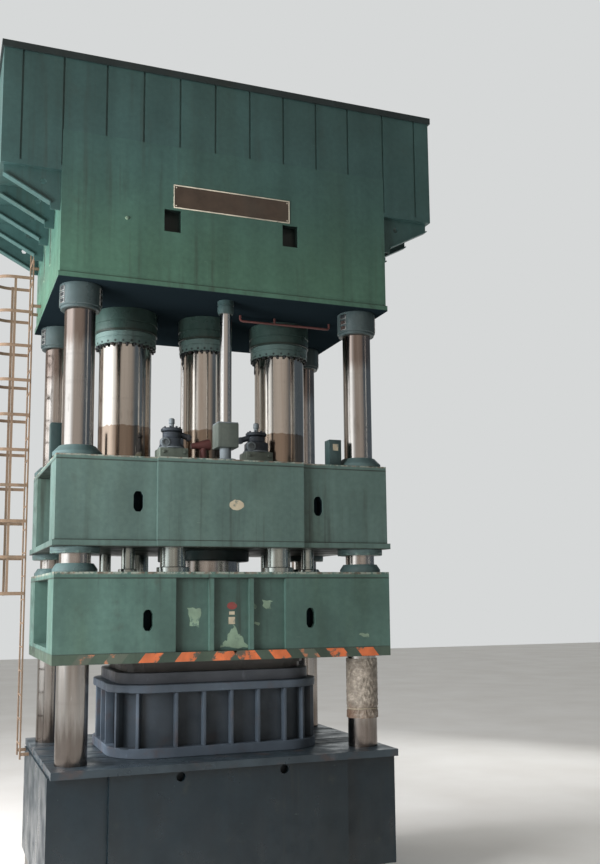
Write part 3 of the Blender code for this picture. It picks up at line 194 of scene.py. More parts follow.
def painted(name, colour, dirt=0.5, chips=0.5, oil=0.0, roughness=0.45, dark=(), seams=(), edges=(),
            fade=None):
    """Old machine paint: patchy tone, vertical dirt runs, small chips and oily patches.

    The colour is in sRGB levels. dark lists boxes where shade is painted in, with how deep it is.
    seams lists the heights of dirty joints and edges those of worn, pale edges, each with its width.
    fade is two heights and the tints there, which the colour runs between going upwards."""
    made = Surface(name, roughness)
    colour = linear(*colour)
    tone = made.shades(made.noise(0.9, 4), colour, (0.3, 0.84), (0.55, 1), (0.75, 1.16))
    wash = made.ramp(made.noise(1.0, 4, (2.6, 2.6, 0.12), 50),
                     [(0.3, (0.78, 0.8, 0.8, 1)), (0.52, (1, 1, 1, 1)), (0.72, (1.18, 1.2, 1.2, 1))])
    tone = made.mix(0.8, tone, wash, "MULTIPLY")
    tone = made.over(tone, (0.86, 0.76, 0.62, 1), 0.5, 0.78, 0.55 * dirt,
                     (0.7, 4, (1.6, 1.6, 0.35), 61), "MULTIPLY")
    fine = made.ramp(made.noise(14, 5, shift=3), [(0.3, (0.82, 0.84, 0.84, 1)), (0.7, (1.1, 1.1, 1.08, 1))])
    tone = made.mix(0.7, tone, fine, "MULTIPLY")
    if fade:
        low, high, bottom, top = fade
        tint = made.ramp(made.height(low, high), [(0.0, bottom), (1.0, top)])
        tone = made.mix(1.0, tone, tint, "MULTIPLY")
    runs = made.span(made.noise(1.6, 5, (7, 7, 0.28), 5), 0.5, 0.78)
    patches = made.span(made.noise(0.55, 3, shift=9), 0.4, 0.64)
    tone = made.mix(made.times(runs, patches, 0.85 * dirt), tone, GRIME)
    tone = made.over(tone, shade(GRIME, 1.5), 0.6, 0.8, 0.5 * dirt, (3.2, 6, (1, 1, 0.8), 14))
    chipped = made.span(made.noise(11, 8, shift=21, rough=0.7), 0.705 - 0.02 * chips, 0.735, 0.0, chips)
    tone = made.mix(chipped, tone, linear(128, 140, 130))
    tone = made.over(tone, linear(120, 134, 124), 0.74, 0.77, 0.5 * chips, (5, 3, (1, 1, 9), 33))
    if oil:
        tone = made.over(tone, shade(colour, 0.4), 0.5, 0.7, oil, (1.3, 4, (1, 1, 0.45), 40))
    for level, width in seams:
        tone = made.mix(made.times(made.near(level, width), 0.85), tone, shade(GRIME, 0.5))
    for level, width in edges:
        for scale, shift, low, high, share, bare in ((9, 70, 0.44, 0.52, 0.6, linear(150, 152, 140)),
                                                     (7, 80, 0.5, 0.56, 0.7, linear(86, 62, 48))):
            worn = made.span(made.noise(scale, 6, shift=shift, rough=0.7), low, high)
            tone = made.mix(made.times(made.near(level, width), worn, share), tone, bare)
    # Painted shade: in each box the colour goes towards a shade colour by its depth, and the deepest boxes
    # lose their reflection.
    for low, high, depth in dark:
        shaded = made.inside(low, high)
        tone = made.mix(made.times(shaded, depth), tone, SHADE if depth > 0.95 else BLACK_SHADE)
        if depth > 0.9:
            made.set("IOR", made.span(shaded, 0, 1, 1.5, 1.0))
    made.set("Base Color", tone)
    made.worn(made.noise(2.4, 4, shift=7), 0.3, 0.75, roughness - 0.14, roughness + 0.16)
    made.bump(made.noise(38, 4, shift=2), 0.0016, 0.5)
    made.bump(chipped, 0.0008, 0.4)
    return made.material


def steel(name, colour, stain=0.5, roughness=0.24, films_and_shade=()):
    """Ground and oiled steel: faint vertical stains and rings of wear.

    Each listed band, with the heights where it starts and is full and its tint, darkens and browns
    the steel: a brown film higher up, and painted shade at the columns' feet."""
    made = Surface(name, roughness, 1.0)
    tone = made.shades(made.noise(1.1, 4, (5, 5, 0.16)), colour, (0.32, 0.8), (0.5, 1), (0.72, 1.12))
    tone = made.over(tone, shade(colour, 0.5), 0.55, 0.8, 0.25 * stain, (2.2, 3, (0.15, 0.15, 6), 8))
    tone = made.over(tone, (0.66, 0.5, 0.4, 1), 0.46, 0.74, 0.6 * stain, (1.3, 4, (6, 6, 0.2), 25),
                     "MULTIPLY")
    tone = made.over(tone, linear(92, 80, 66), 0.6, 0.75, 0.35 * stain, (5, 7, (1, 1, 0.4), 15, 0.65))
    for start, full, tint in films_and_shade:
        uneven = made.span(made.noise(4, 4, (4, 4, 0.4), 30), 0, 1, -0.5, 0.5)
        level = made.math("ADD", made.axis("Z"), made.times(uneven, abs(full - start) + 0.03))
        tone = made.mix(made.span(level, start, full, 0.0, 0.9), tone, tint, "MULTIPLY")
    made.set("Base Color", tone)
    made.worn(made.noise(1.8, 5, (6, 6, 0.5), 11), 0.25, 0.8, roughness - 0.05, roughness + 0.12)
    made.bump(made.noise(90, 2, (1, 1, 0.02), 4), 0.0003, 0.4)
    return made.material


def cast(name, colour, sheen=0.0, dark=()):
    """Dark, oily cast iron with a grainy skin and lighter scuffs; the colour is in sRGB levels."""
    made = Surface(name, 0.55, 0.25)
    colour = linear(*colour)
    tone = made.shades(made.noise(1.4, 5), colour, (0.3, 0.7), (0.55, 1), (0.78, 1.45))
    tone = made.over(tone, shade(colour, 2.3), 0.6, 0.76, 0.4, (4.5, 7, (1, 1, 0.6), 6, 0.65))
    tone = made.over(tone, linear(84, 62, 52), 0.55, 0.74, 0.45, (2.6, 6, (1, 1, 1), 19))
    # Painted shade: in each box the colour goes towards black by its depth.
    for low, high, depth in dark:
        tone = made.mix(made.times(made.inside(low, high), depth), tone, BLACK_SHADE)
    made.set("Base Color", tone)
    made.worn(made.noise(3, 4, shift=12), 0.3, 0.75, 0.36 - sheen, 0.72 - sheen)
    made.bump(made.noise(46, 6, shift=1), 0.0022, 0.55)
    return made.material


def worn_mark(name, colour, under, wear):
    """A painted mark that has partly rubbed off, showing the paint under it."""
    made = Surface(name, 0.6)
    tone = made.shades(made.noise(6, 4), linear(*colour), (0.3, 0.75), (0.7, 1.1))
    tone = made.over(tone, linear(*under), 0.62 - 0.2 * wear, 0.66 - 0.16 * wear, 1.0,
                     (5.5, 8, (1, 1, 1), 17, 0.68))
    tone = made.over(tone, linear(58, 56, 50), 0.45, 0.75, 0.55, (2.2, 4, (1, 1, 0.5), 3))
    made.set("Base Color", tone)
    made.bump(made.noise(40, 4), 0.0008, 0.4)
    return made.material


# Boxes of space with shade painted in, each with its depth: the crown's underside and its front windows, the
# insides of both slides behind their holes, the lower slide's recessed panels and the die base's recess
# between its ribs.
SHADED_CROWN = [((-3, -3, 8.2), (3, 3, 8.79), 0.98), ((-1.2, -1.578, 9.3), (1.2, 1.578, 10.0), 0.9)]
SHADED_SLIDE = [((-2.1, -1.5, 5.12), (2.1, 1.5, 6.2), 0.96)]
SHADED_HOLDER = [((-2.1, -1.46, 3.6), (2.1, 1.46, 4.6), 0.96), ((-1.1, -1.5, 3.56), (1.1, 1.5, 4.58), 0.22)]
SHADED_DIE = [((-1.47, -1.07, 2.19), (1.47, 1.07, 2.99), 0.55)]

crown_green = painted("crown_paint", (60, 87, 79), 0.6, 0.4, dark=SHADED_CROWN, seams=[(8.859, 0.014)],
                      fade=(8.9, 10.9, (1.1, 1.14, 0.98, 1), (0.8, 0.84, 0.93, 1)))
slide_green = painted("slide_paint", (76, 96, 91), 0.85, 0.7, 0.2, dark=SHADED_SLIDE,
                      seams=[(6.227, 0.016), (5.11, 0.012), (5.019, 0.02)], edges=[(6.285, 0.02)])
lower_green = painted("lower_slide_paint", (70, 95, 88), 1.0, 0.9, 0.35, dark=SHADED_HOLDER,
                      seams=[(4.582, 0.016), (3.555, 0.016)], edges=[(4.655, 0.03)])
dark_green = painted("dark_green_paint", (46, 62, 62), 0.8, 0.4, 0.3, 0.4)
cylinder_green = painted("cylinder_paint", (45, 61, 57), 0.8, 0.3, 0.3, 0.36, seams=[(8.43, 0.03)])
gland_paint = painted("gland_ring_paint", (76, 94, 91), 0.9, 0.6, 0.2, 0.36)
collar_grey = painted("collar_paint", (57, 69, 70), 0.6, 0.5, 0.0, 0.36)
cover_green = painted("cover_paint", (66, 84, 84), 0.5, 0.3, 0.0, 0.4)
block_green = painted("block_paint", (78, 85, 80), 0.5, 0.4)
valve_paint = painted("valve_base_paint", (92, 100, 92), 1.0, 0.8, 0.3)
neck_paint = painted("neck_paint", (104, 112, 116), 0.8, 0.6)
rust_paint = painted("rusty_ladder_paint", (112, 94, 78), 0.9, 0.5, 0.0, 0.6)
red_brown = painted("red_brown_paint", (92, 56, 54), 0.7, 0.4)
# On the columns the band below 2.75 m, full at 2.35 m, is painted shade at their feet.
column_steel = steel("column_steel", (0.60, 0.57, 0.54, 1), 0.7, 0.17,
                     [(7.75, 8.05, (0.56, 0.48, 0.45, 1)), (2.75, 2.35, (0.42, 0.38, 0.36, 1))])
ram_steel = steel("ram_steel", (0.68, 0.65, 0.60, 1), 0.5, 0.13, [(6.95, 6.93, (0.52, 0.42, 0.35, 1))])
blank_holder_steel = steel("blank_holder_rod_steel", (0.50, 0.55, 0.52, 1), 0.8, 0.2)
rod_steel = steel("rod_steel", (0.68, 0.67, 0.65, 1), 0.3, 0.16)
pale_steel = steel("pale_steel", (0.55, 0.56, 0.55, 1), 0.3, 0.4)
die_iron = cast("die_iron", (74, 84, 94), dark=SHADED_DIE)
die_ring_iron = cast("die_ring_iron", (76, 80, 86), 0.06)
# Black iron for bolts and rags, also used as painted shade in each collar's bolt pocket and as painted shadow
# on the crown's left face.
black_iron_and_shade = cast("black_iron_and_shade", (34, 38, 40), 0.08)
valve_iron = cast("valve_iron", (54, 60, 66), 0.1)
orange_mark = worn_mark("orange_mark", (196, 104, 62), (80, 78, 68), 0.6)
faded_mark = worn_mark("faded_orange_mark", (160, 106, 78), (74, 82, 72), 1.2)
# Pale green for torn patches on the lower slide, also used as painted highlight round the dark strips on the
# crown's left face.
pale_mark_and_highlight = worn_mark("pale_green_mark_and_highlight", (118, 140, 120), (84, 106, 94), 0.4)
beige_mark = worn_mark("beige_mark", (166, 156, 134), (112, 116, 104), 0.3)
red_mark = worn_mark("red_brown_mark", (120, 58, 55), (86, 80, 72), 0.5)
plate_field = worn_mark("nameplate_field", (66, 55, 46), (90, 82, 70), -0.9)
plate_frame = worn_mark("nameplate_frame", (196, 188, 170), (120, 116, 104), 0.0)

NODE_LOOKS = {
    "crown": crown_green, "main_slide": slide_green, "blank_holder_slide": lower_green,
    "oil_tank": painted("tank_paint", (52, 77, 75), 0.6, 0.35),
    "top_rim": painted("rim_paint", (34, 43, 43), 0.8, 0.5),
    "bed": painted("bed_paint", (17, 31, 38), 1.0, 0.4, 0.5, 0.4),
    "bed_nut": steel("dull_steel", (0.30, 0.30, 0.29, 1), 0.5, 0.42),
    "bolster": cast("table_iron", (50, 60, 66), 0.1),
    "foundation_beam": cast("dark_iron", (46, 52, 54)),
    "blank_holder_base_plate": painted("base_plate_paint", (62, 76, 66), 1.0, 1.0, 0.5),
    "blank_holder_ring": cast("blank_holder_iron", (70, 68, 66), 0.08),
    "ejector_ram": rod_steel, "ejector_cylinder": dark_green,
}


# Shapes

class Form:
    """Shapes gathered into one mesh, in coordinates from an origin."""

    def __init__(self, origin=(0, 0, 0)):
        self.work = bmesh.new()
        self.origin = origin

    def place(self, points, matrix):
        bmesh.ops.transform(self.work, matrix=matrix, verts=points)

    def box(self, low, high, bevel=0.0, matrix=Matrix()):
        """A box between two opposite corners, with rounded edges."""
        low, high = zip(*[sorted(ends) for ends in zip(low, high)])
        size = [end - start for start, end in zip(low, high)]
        centre = [(end + start) / 2 for start, end in zip(low, high)]
        points = bmesh.ops.create_cube(self.work, size=1.0)["verts"]
        self.place(points, matrix @ at(centre) @ Matrix.Diagonal((*size, 1)))
        if bevel:
            edges = list({edge for point in points for edge in point.link_edges})
            bmesh.ops.bevel(self.work, geom=edges, offset=bevel, segments=2, profile=0.5, affect="EDGES")
        return self

    def skin(self, rings, matrix=Matrix(), closed=True):
        """Faces from each ring of points to the next, and if closed from the last to the first."""
        made = [[self.work.verts.new(point) for point in ring] for ring in rings]
        for upper, lower in zip(made, made[1:] + made[:1] if closed else made[1:]):
            for i in range(max(len(upper), len(lower))):
                j = i + 1
                corners = dict.fromkeys([upper[i % len(upper)], lower[i % len(lower)],
                                         lower[j % len(lower)], upper[j % len(upper)]])
                if len(corners) > 2:
                    self.work.faces.new(list(corners))
        self.place([point for ring in made for point in ring], matrix)
        return self

    def turned(self, profile, sides=64, matrix=Matrix(), closed=False):
        """A profile of (radius, height), top to bottom on its outer side, turned round Z."""
        angles = [2 * math.pi * i / sides for i in range(sides)]
        rings = [[(radius * math.cos(angle), radius * math.sin(angle), height)
                  for angle in (angles if radius else angles[:1])] for radius, height in profile]
        return self.skin(rings, matrix, closed)

    def lathe(self, node, top, feet, outer=0.0, bore=0.0, sides=64):
        """A round piece on a node's axis, solid or with a bore, with its origin at the node's foot.

        Its outline starts with the top edge's chamfer, or with points (inset, depth) under that edge.
        Then it goes through points (inset, height) over the foot."""
        x, y, low, high, half = upright(node)
        self.origin = (x, y, low)
        outer = outer or half
        tops = top if isinstance(top, list) else [(top, 0), (0, top)]
        profile = [(outer - inset, high - low - depth) for inset, depth in tops]
        profile += [(outer - inset, height) for inset, height in feet]
        profile = [(bore, profile[0][1])] + profile + [(bore, profile[-1][1])]
        return self.turned(profile, sides, closed=bore > 0)

    def prism(self, outline, low, high, matrix=Matrix()):
        """An XY outline, anticlockwise, between two heights."""
        bottom, top = [[self.work.verts.new((x, y, z)) for x, y in outline] for z in (low, high)]
        self.work.faces.new(bottom[::-1])
        self.work.faces.new(top)
        for i in range(len(outline)):
            self.work.faces.new([bottom[i - 1], bottom[i], top[i], top[i - 1]])
        self.place(bottom + top, matrix)
        return self

    def bolt(self, matrix, across, height, washer=0.008):
        """A hexagon head with a chamfer on a washer, standing up from the matrix's origin."""
        corner = across / 2 / math.cos(math.radians(30))
        self.turned([(0, washer), (corner * 1.15, washer), (corner * 1.15, 0), (0, 0)], 16, matrix)
        return self.turned([(0, height), (corner * 0.86, height), (corner, height - 0.12 * across),
                            (corner, washer), (0, washer)], 6, matrix)

    def rod(self, start, end, radius, sides=16):
        """A round bar between two points."""
        start, end = Vector(start), Vector(end)
        turn = (end - start).to_track_quat("Z", "Y").to_matrix().to_4x4()
        length = (end - start).length
        return self.turned([(0, length), (radius, length), (radius, 0), (0, 0)], sides,
                           at(start) @ turn)

    def done(self, name, look, slot, node=None, body="frame"):
        """Make the object, which rides on a body and may stand for a CAD node."""
        mesh = bpy.data.meshes.new(name)
        self.place(self.work.verts, at(self.origin))
        bmesh.ops.recalc_face_normals(self.work, faces=self.work.faces)
        self.work.to_mesh(mesh)
        self.work.free()
        mesh.shade_smooth()
        mesh.set_sharp_from_angle(angle=math.radians(35))
        adopt(bpy.data.objects.new(name, mesh), look, node, body)


def adopt(obj, look, node, body):
    """Link an object, give it its material and body, and hide the CAD node that it stands for."""
    bpy.context.scene.collection.objects.link(obj)
    obj.data.materials.append(look)
    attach(obj, body)
    if node:
        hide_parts(node)


def upright(node):
    """A node's upright axis, its lower and its upper end, and half its width."""
    low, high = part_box(node)
    centre = (low + high) / 2
    return centre.x, centre.y, low.z, high.z, (high.x - low.x) / 2


def at(place):
    return Matrix.Translation(place)


def turning(axis, degrees):
    return Matrix.Rotation(math.radians(degrees), 4, axis)


def spun(centre, degrees, reach=0.0):
    """A place at a reach from a centre, after a turn round Z; its X points outwards."""
    return at(centre) @ turning("Z", degrees) @ at((reach, 0, 0))


def facing_front(x, y, z):
    """A place on a front face: its Z points out of the face, towards -Y."""
    return at((x, y, z)) @ turning("X", 90)


def rounded(width, depth, corner, steps=10):
    """A rounded rectangle's outline, anticlockwise."""
    x, y = width / 2 - corner, depth / 2 - corner
    points = []
    for quarter, (sx, sy) in enumerate(QUARTERS):
        for i in range(steps + 1):
            angle = math.radians(90 * (quarter + i / steps))
            points.append((sx * x + corner * math.cos(angle), sy * y + corner * math.sin(angle)))
    return points


# Columns and what is round them

crown_low, crown_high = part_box("crown")
COVER_BORE = COLUMN_RADIUS + 0.001


def columns():
    """The columns, each with its hexagon nut on top of the crown."""
    nut_across, nut_height = 0.58, 0.34
    corner = nut_across / 2 / math.cos(math.radians(30))
    for name in CORNERS:
        node = "column_" + name
        form = Form().lathe(node, 0.015, [(0, 0.02), (0.02, 0)], COLUMN_RADIUS)
        seat = crown_high.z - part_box(node)[0].z
        form.turned([(0, seat + nut_height), (corner, seat + nut_height), (corner, seat + 0.001),
                     (0, seat + 0.001)], 6)
        form.done("steel_" + node, column_steel, "ground_steel", node)


def collars():
    """Split collars under the crown, with three pale frames on each side, each round a black patch of painted
    shade for its hollow bolt pocket.
    """
    first, pitch = 0.105, 0.09
    for name in CORNERS:
        node = "crown_collar_" + name
        x, y, low, _, outer = upright(node)
        feet = [(0, 0.048), (0.008, 0.04), (0.02, 0.04), (0.02, 0.006), (0.028, 0)]
        form = Form().lathe(node, 0.008, feet, bore=COLUMN_RADIUS + 0.0003)
        form.done("split_collar_" + name, collar_grey, "dark_cast_iron", node)
        frames, pocket_shade = Form((x, y, low)), Form((x, y, low))
        for degrees in (203, -23):
            for i in range(3):
                place = spun((0, 0, first + pitch * i), degrees)
                frames.box((outer - 0.03, -0.06, -0.038), (outer + 0.002, 0.06, 0.038), 0.002, place)
                # In each frame a black block is painted shade for the hollow bolt pocket.
                pocket_shade.box((outer - 0.03, -0.043, -0.024), (outer + 0.0035, 0.043, 0.024), 0.0, place)
        frames.done("pocket_frames_" + name, pale_steel, "dark_cast_iron")
        pocket_shade.done("bolt_pocket_shade_" + name, black_iron_and_shade, "dark_cast_iron")


def covers():
    """Smooth cones over the guide glands of both slides, and discs round those that hang down."""
    def cone(foot, height):
        return [(COVER_BORE, 0.0004), (0.258, 0.0004), (0.2615, -0.004), (foot + 0.0005, -0.645 * height),
                (foot, -height), (COVER_BORE, -height)]

    upper_low, upper_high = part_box("main_slide")
    disc = [(0.34, 0.0885), (0.346, 0.0825), (0.346, 0.03), (0.338, 0.024), (0.338, 0.006),
            (0.33, -0.0004), (COVER_BORE, -0.0004), (COVER_BORE, 0.0885)]
    for name, body, level, profile in (
            ("main_slide_guide_covers", "draw_slide", upper_high.z, cone(0.346, 0.14)),
            ("blank_holder_slide_guide_covers", "blank_holder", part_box("blank_holder_slide")[1].z,
             cone(0.311, 0.12)),
            ("hanging_column_glands", "draw_slide", upper_low.z, disc)):
        form = Form((0, 0, level))
        for corner in CORNERS:
            x, y, _, _, _ = upright("column_" + corner)
            form.turned(profile, matrix=at((x, y, 0)), closed=True)
        form.done(name, cover_green, "dark_green_paint", body=body)


# Cylinders, rams and rods

def rams():
    """The three rams with their cylinders and the bolted rings that close those."""
    sides, bolts, lift = 96, 24, 0.035
    for name in RAMS:
        feet = [(0, 0.035), (0.006, 0.03), (0.006, 0.022), (0, 0.018), (0, 0)]
        form = Form().lathe("main_ram_" + name, 0.02, feet, sides=sides)
        form.done("polished_ram_" + name, ram_steel, "ground_steel", "main_ram_" + name, "draw_slide")

        inner = upright("main_ram_" + name)[4] + 0.0005
        x, y, low, high, outer = upright("cylinder_" + name)
        top = high - low
        profile = [(0, top), (outer, top), (outer, 0.16), (outer - 0.01, 0.155), (outer - 0.01, 0.14),
                   (outer, 0.135), (outer, 0.01), (outer - 0.01, 0), (inner, 0), (inner, top - 0.1),
                   (0, top - 0.1)]
        form = Form((x, y, low)).turned(profile, sides)
        form.done("main_cylinder_" + name, cylinder_green, "green_paint", "cylinder_" + name)

        feet = [(0, 0.15), (0.008, 0.145), (0.008, 0.135), (0, 0.13), (0, lift + 0.012), (0.012, lift)]
        form = Form().lathe("gland_ring_" + name, 0.006, feet, bore=inner, sides=sides)
        form.done("bolted_gland_ring_" + name, gland_paint, "bright_bolt_steel", "gland_ring_" + name)
        x, y, low, _, outer = upright("gland_ring_" + name)
        form = Form((x, y, low))
        for i in range(bolts):
            place = spun((0, 0, lift), 360 * (i + 0.5) / bolts, inner + 0.036)
            form.bolt(place @ turning("X", 180), 0.046, 0.034, 0.006)
            place = spun((0, 0, lift + 0.03), 360 * i / bolts, outer - 0.004)
            form.turned([(0, 0.006), (0.017, 0.006), (0.017, 0), (0, 0)], 12, place @ turning("Y", 90))
        form.done("gland_bolts_" + name, black_iron_and_shade, "dark_cast_iron")


def hanging_rags():
    """Dark ragged strips that hang beside the middle and the right gland ring."""
    width, length, steps, shake = 0.06, 0.31, 9, 0.008
    form = Form()
    for seed, ring in enumerate(("gland_ring_middle", "gland_ring_right")):
        axis_x, y, low, _, outer = upright(ring)
        x, top = axis_x - outer + 0.03, low + 0.07
        chance = random.Random(seed)
        left, right = [], []
        for i in range(steps + 1):
            share = i / steps
            half = width / 2 * (1 - 0.75 * share)
            left.append((x - half + chance.uniform(-shake, shake), top - length * share))
            right.append((x + half + chance.uniform(-shake, shake), top - length * share))
        form.prism(left + right[::-1], 0, 0.004, facing_front(0, y - 0.06, 0))
    form.done("hanging_rags", black_iron_and_shade, "dark_cast_iron")


def rods():
    """The big and small rods between the slides, and the two slim return rods."""
    chamfer = 0.01
    for name in CORNERS:
        for kind, radius, foot, thick in (("blank_holder_rod_", 0.185, 0.235, 0.07),
                                          ("guide_rod_", 0.095, 0.14, 0.05)):
            rim = radius - foot
            feet = [(0, thick + 0.006), (-0.006, thick), (rim + 0.006, thick), (rim, thick - 0.006), (rim, 0)]
            form = Form().lathe(kind + name, chamfer, feet, radius)
            form.done("round_" + kind + name, blank_holder_steel, "ground_steel", kind + name, "blank_holder")
    for name in ("front", "rear"):
        form = Form().lathe("return_rod_" + name, chamfer, [(0, 0)])
        form.done("slim_return_rod_" + name, rod_steel, "ground_steel", "return_rod_" + name, "draw_slide")
        tops = [(0, 0), (0, 0.06), (0.012, 0.066), (0.012, 0.085), (0, 0.09)]
        form = Form().lathe("return_gland_" + name, tops, [(0, 0.05), (0.015, 0)], bore=0.0905, sides=48)
        form.done("return_cap_" + name, dark_green, "dark_green_paint", "return_gland_" + name)


def return_blocks():
    """The clamp blocks of the return rods, each with a cap, a round neck and a flange."""
    half, inset, foot = 0.16, 0.006, 0.215
    for name in ("front", "rear"):
        node = "return_rod_block_" + name
        x, y, low, high, _ = upright(node)
        top = high - low
        cap = top - 0.014
        form = Form((x, y, low)).box((-half, -half, foot), (half, half, cap), 0.012)
        form.done("clamp_block_" + name, block_green, "green_paint", node, "draw_slide")
        form = Form((x, y, low))
        form.box((inset - half, inset - half, cap), (half - inset, half - inset, top), 0.003)
        form.turned([(0, foot), (0.085, foot), (0.085, 0.05), (half, 0.05), (0.17, 0.04), (0.17, 0),
                     (0, 0)], 48)
        form.done("clamp_neck_" + name, neck_paint, "green_paint", body="draw_slide")


# Valve blocks, cabinets and pipe

def valve_blocks():
    """Prefill valves on the main slide: base, round body, plate, post, arm and a side flange."""
    away, half, depth, head = 0.68, 0.22, 0.187, 0.262
    for side, name in ((-1, "left"), (1, "right")):
        node = "valve_block_" + name
        _, y, base, _, _ = upright(node)
        origin = (side * away, y, base)
        form = Form(origin).box((-half, -depth, 0), (half, depth, head), 0.015)
        for x in (-0.16, 0.16):
            for z in (0.07, 0.2):
                form.bolt(facing_front(x, -depth, z), 0.042, 0.028)
        form.done("valve_base_" + name, valve_paint, "green_paint", body="draw_slide")

        form = Form(origin)
        form.turned([(0, 0.53), (0.11, 0.53), (0.14, 0.51), (0.14, 0.44), (0.17, 0.41), (0.17, 0.34),
                     (0.19, 0.31), (0.19, 0.28), (0, 0.28)], 40)
        form.box((-0.16, -0.13, 0.28), (0.16, 0.13, 0.42), 0.02)
        form.turned([(0, 0.58), (0.15, 0.58), (0.165, 0.57), (0.165, 0.535), (0.15, 0.525), (0, 0.525)], 40)
        for i in range(8):
            form.bolt(spun((0, 0, 0.58), 45 * (i + 0.5), 0.125), 0.03, 0.024, 0.004)
        form.rod((-side * 0.12, 0, 0.5), (-side * 0.3, 0, 0.44), 0.045)
        form.box((-side * 0.26 - 0.03, -0.05, 0.4), (-side * 0.26 + 0.03, 0.05, 0.5), 0.01)
        form.done("valve_body_" + name, valve_iron, "dark_cast_iron", node, "draw_slide")

        form = Form(origin).turned([(0, 0.285), (0.2, 0.285), (0.21, 0.278), (0.21, head), (0, head)], 40)
        form.turned([(0, 0.74), (0.03, 0.74), (0.045, 0.725), (0.045, 0.66), (0.035, 0.65), (0.035, 0.57),
                     (0, 0.57)], 24)
        form.turned([(0.04, 0.05), (0.062, 0.05), (0.075, 0.04), (0.075, 0), (0, 0), (0, 0.03), (0.04, 0.03)],
                    32, facing_front(-0.13, -0.13, 0.345))
        form.done("valve_trim_" + name, neck_paint, "bright_bolt_steel", body="draw_slide")


def filling_funnel():
    """The red-brown funnel between the valves, on its short post."""
    form = Form((-0.18, -0.62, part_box("valve_block_left")[0].z))
    form.turned([(0, 0.30), (0.045, 0.30), (0.05, 0.24), (0.085, 0.05), (0.085, 0), (0, 0)], 32,
                at((0.1, 0, 0.36)) @ turning("Y", -97))
    form.turned([(0, 0.32), (0.055, 0.32), (0.055, 0), (0, 0)], 24)
    form.done("filling_funnel", red_brown, "red_brown_paint", body="draw_slide")


def cabinets():
    """The two small cabinets with their doors, and the bare label on the front one."""
    for name in ("front", "rear"):
        low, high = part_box("cabinet_" + name)
        width, depth, height = high - low
        form = Form(low).box((0, 0.007, 0), (width, depth, height), 0.006)
        form.box((0.016, 0, 0.025), (width - 0.016, 0.02, height - 0.02), 0.003)
        for hinge in (0.22 * height, 0.78 * height):
            form.rod((0.01, 0.006, hinge - 0.03), (0.01, 0.006, hinge + 0.03), 0.006)
        form.done("cabinet_shell_" + name, dark_green, "dark_green_paint", "cabinet_" + name, "draw_slide")
    low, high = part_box("cabinet_front")
    form = Form().box((low.x + 0.055, low.y - PROUD, high.z - 0.17),
                      (high.x - 0.055, low.y + 0.002, high.z - 0.07))
    form.done("cabinet_bare_label", beige_mark, "dark_green_paint", body="draw_slide")


def pipe():
    """The thin drain pipe under the crown with its two unions."""
    radius, bend, steps = 0.019, 0.04, 6
    low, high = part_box("drain_pipe")
    y, run = (low.y + high.y) / 2, low.z + 0.02
    form = Form().rod((low.x + 0.06, y, run), (high.x - 0.06, y, run), radius)
    for x, turn in ((low.x + 0.02, 1), (high.x - 0.02, -1)):
        corner = [math.radians(90 * i / steps) for i in range(steps + 1)]
        points = [(x + turn * bend * (1 - math.cos(a)), y, run + bend * (1 - math.sin(a))) for a in corner]
        for start, end in zip(points, points[1:]):
            form.rod(start, end, radius, 12)
        form.rod((x, y, run + bend), (x, y, high.z), radius)
        form.bolt(at((x, y, high.z - 0.03)), 0.033, 0.029, 0.004)
    form.rod((1.0, y, run), (1.0, y, high.z), radius)
    form.done("bent_drain_pipe", red_brown, "red_brown_paint", "drain_pipe")


# Tool

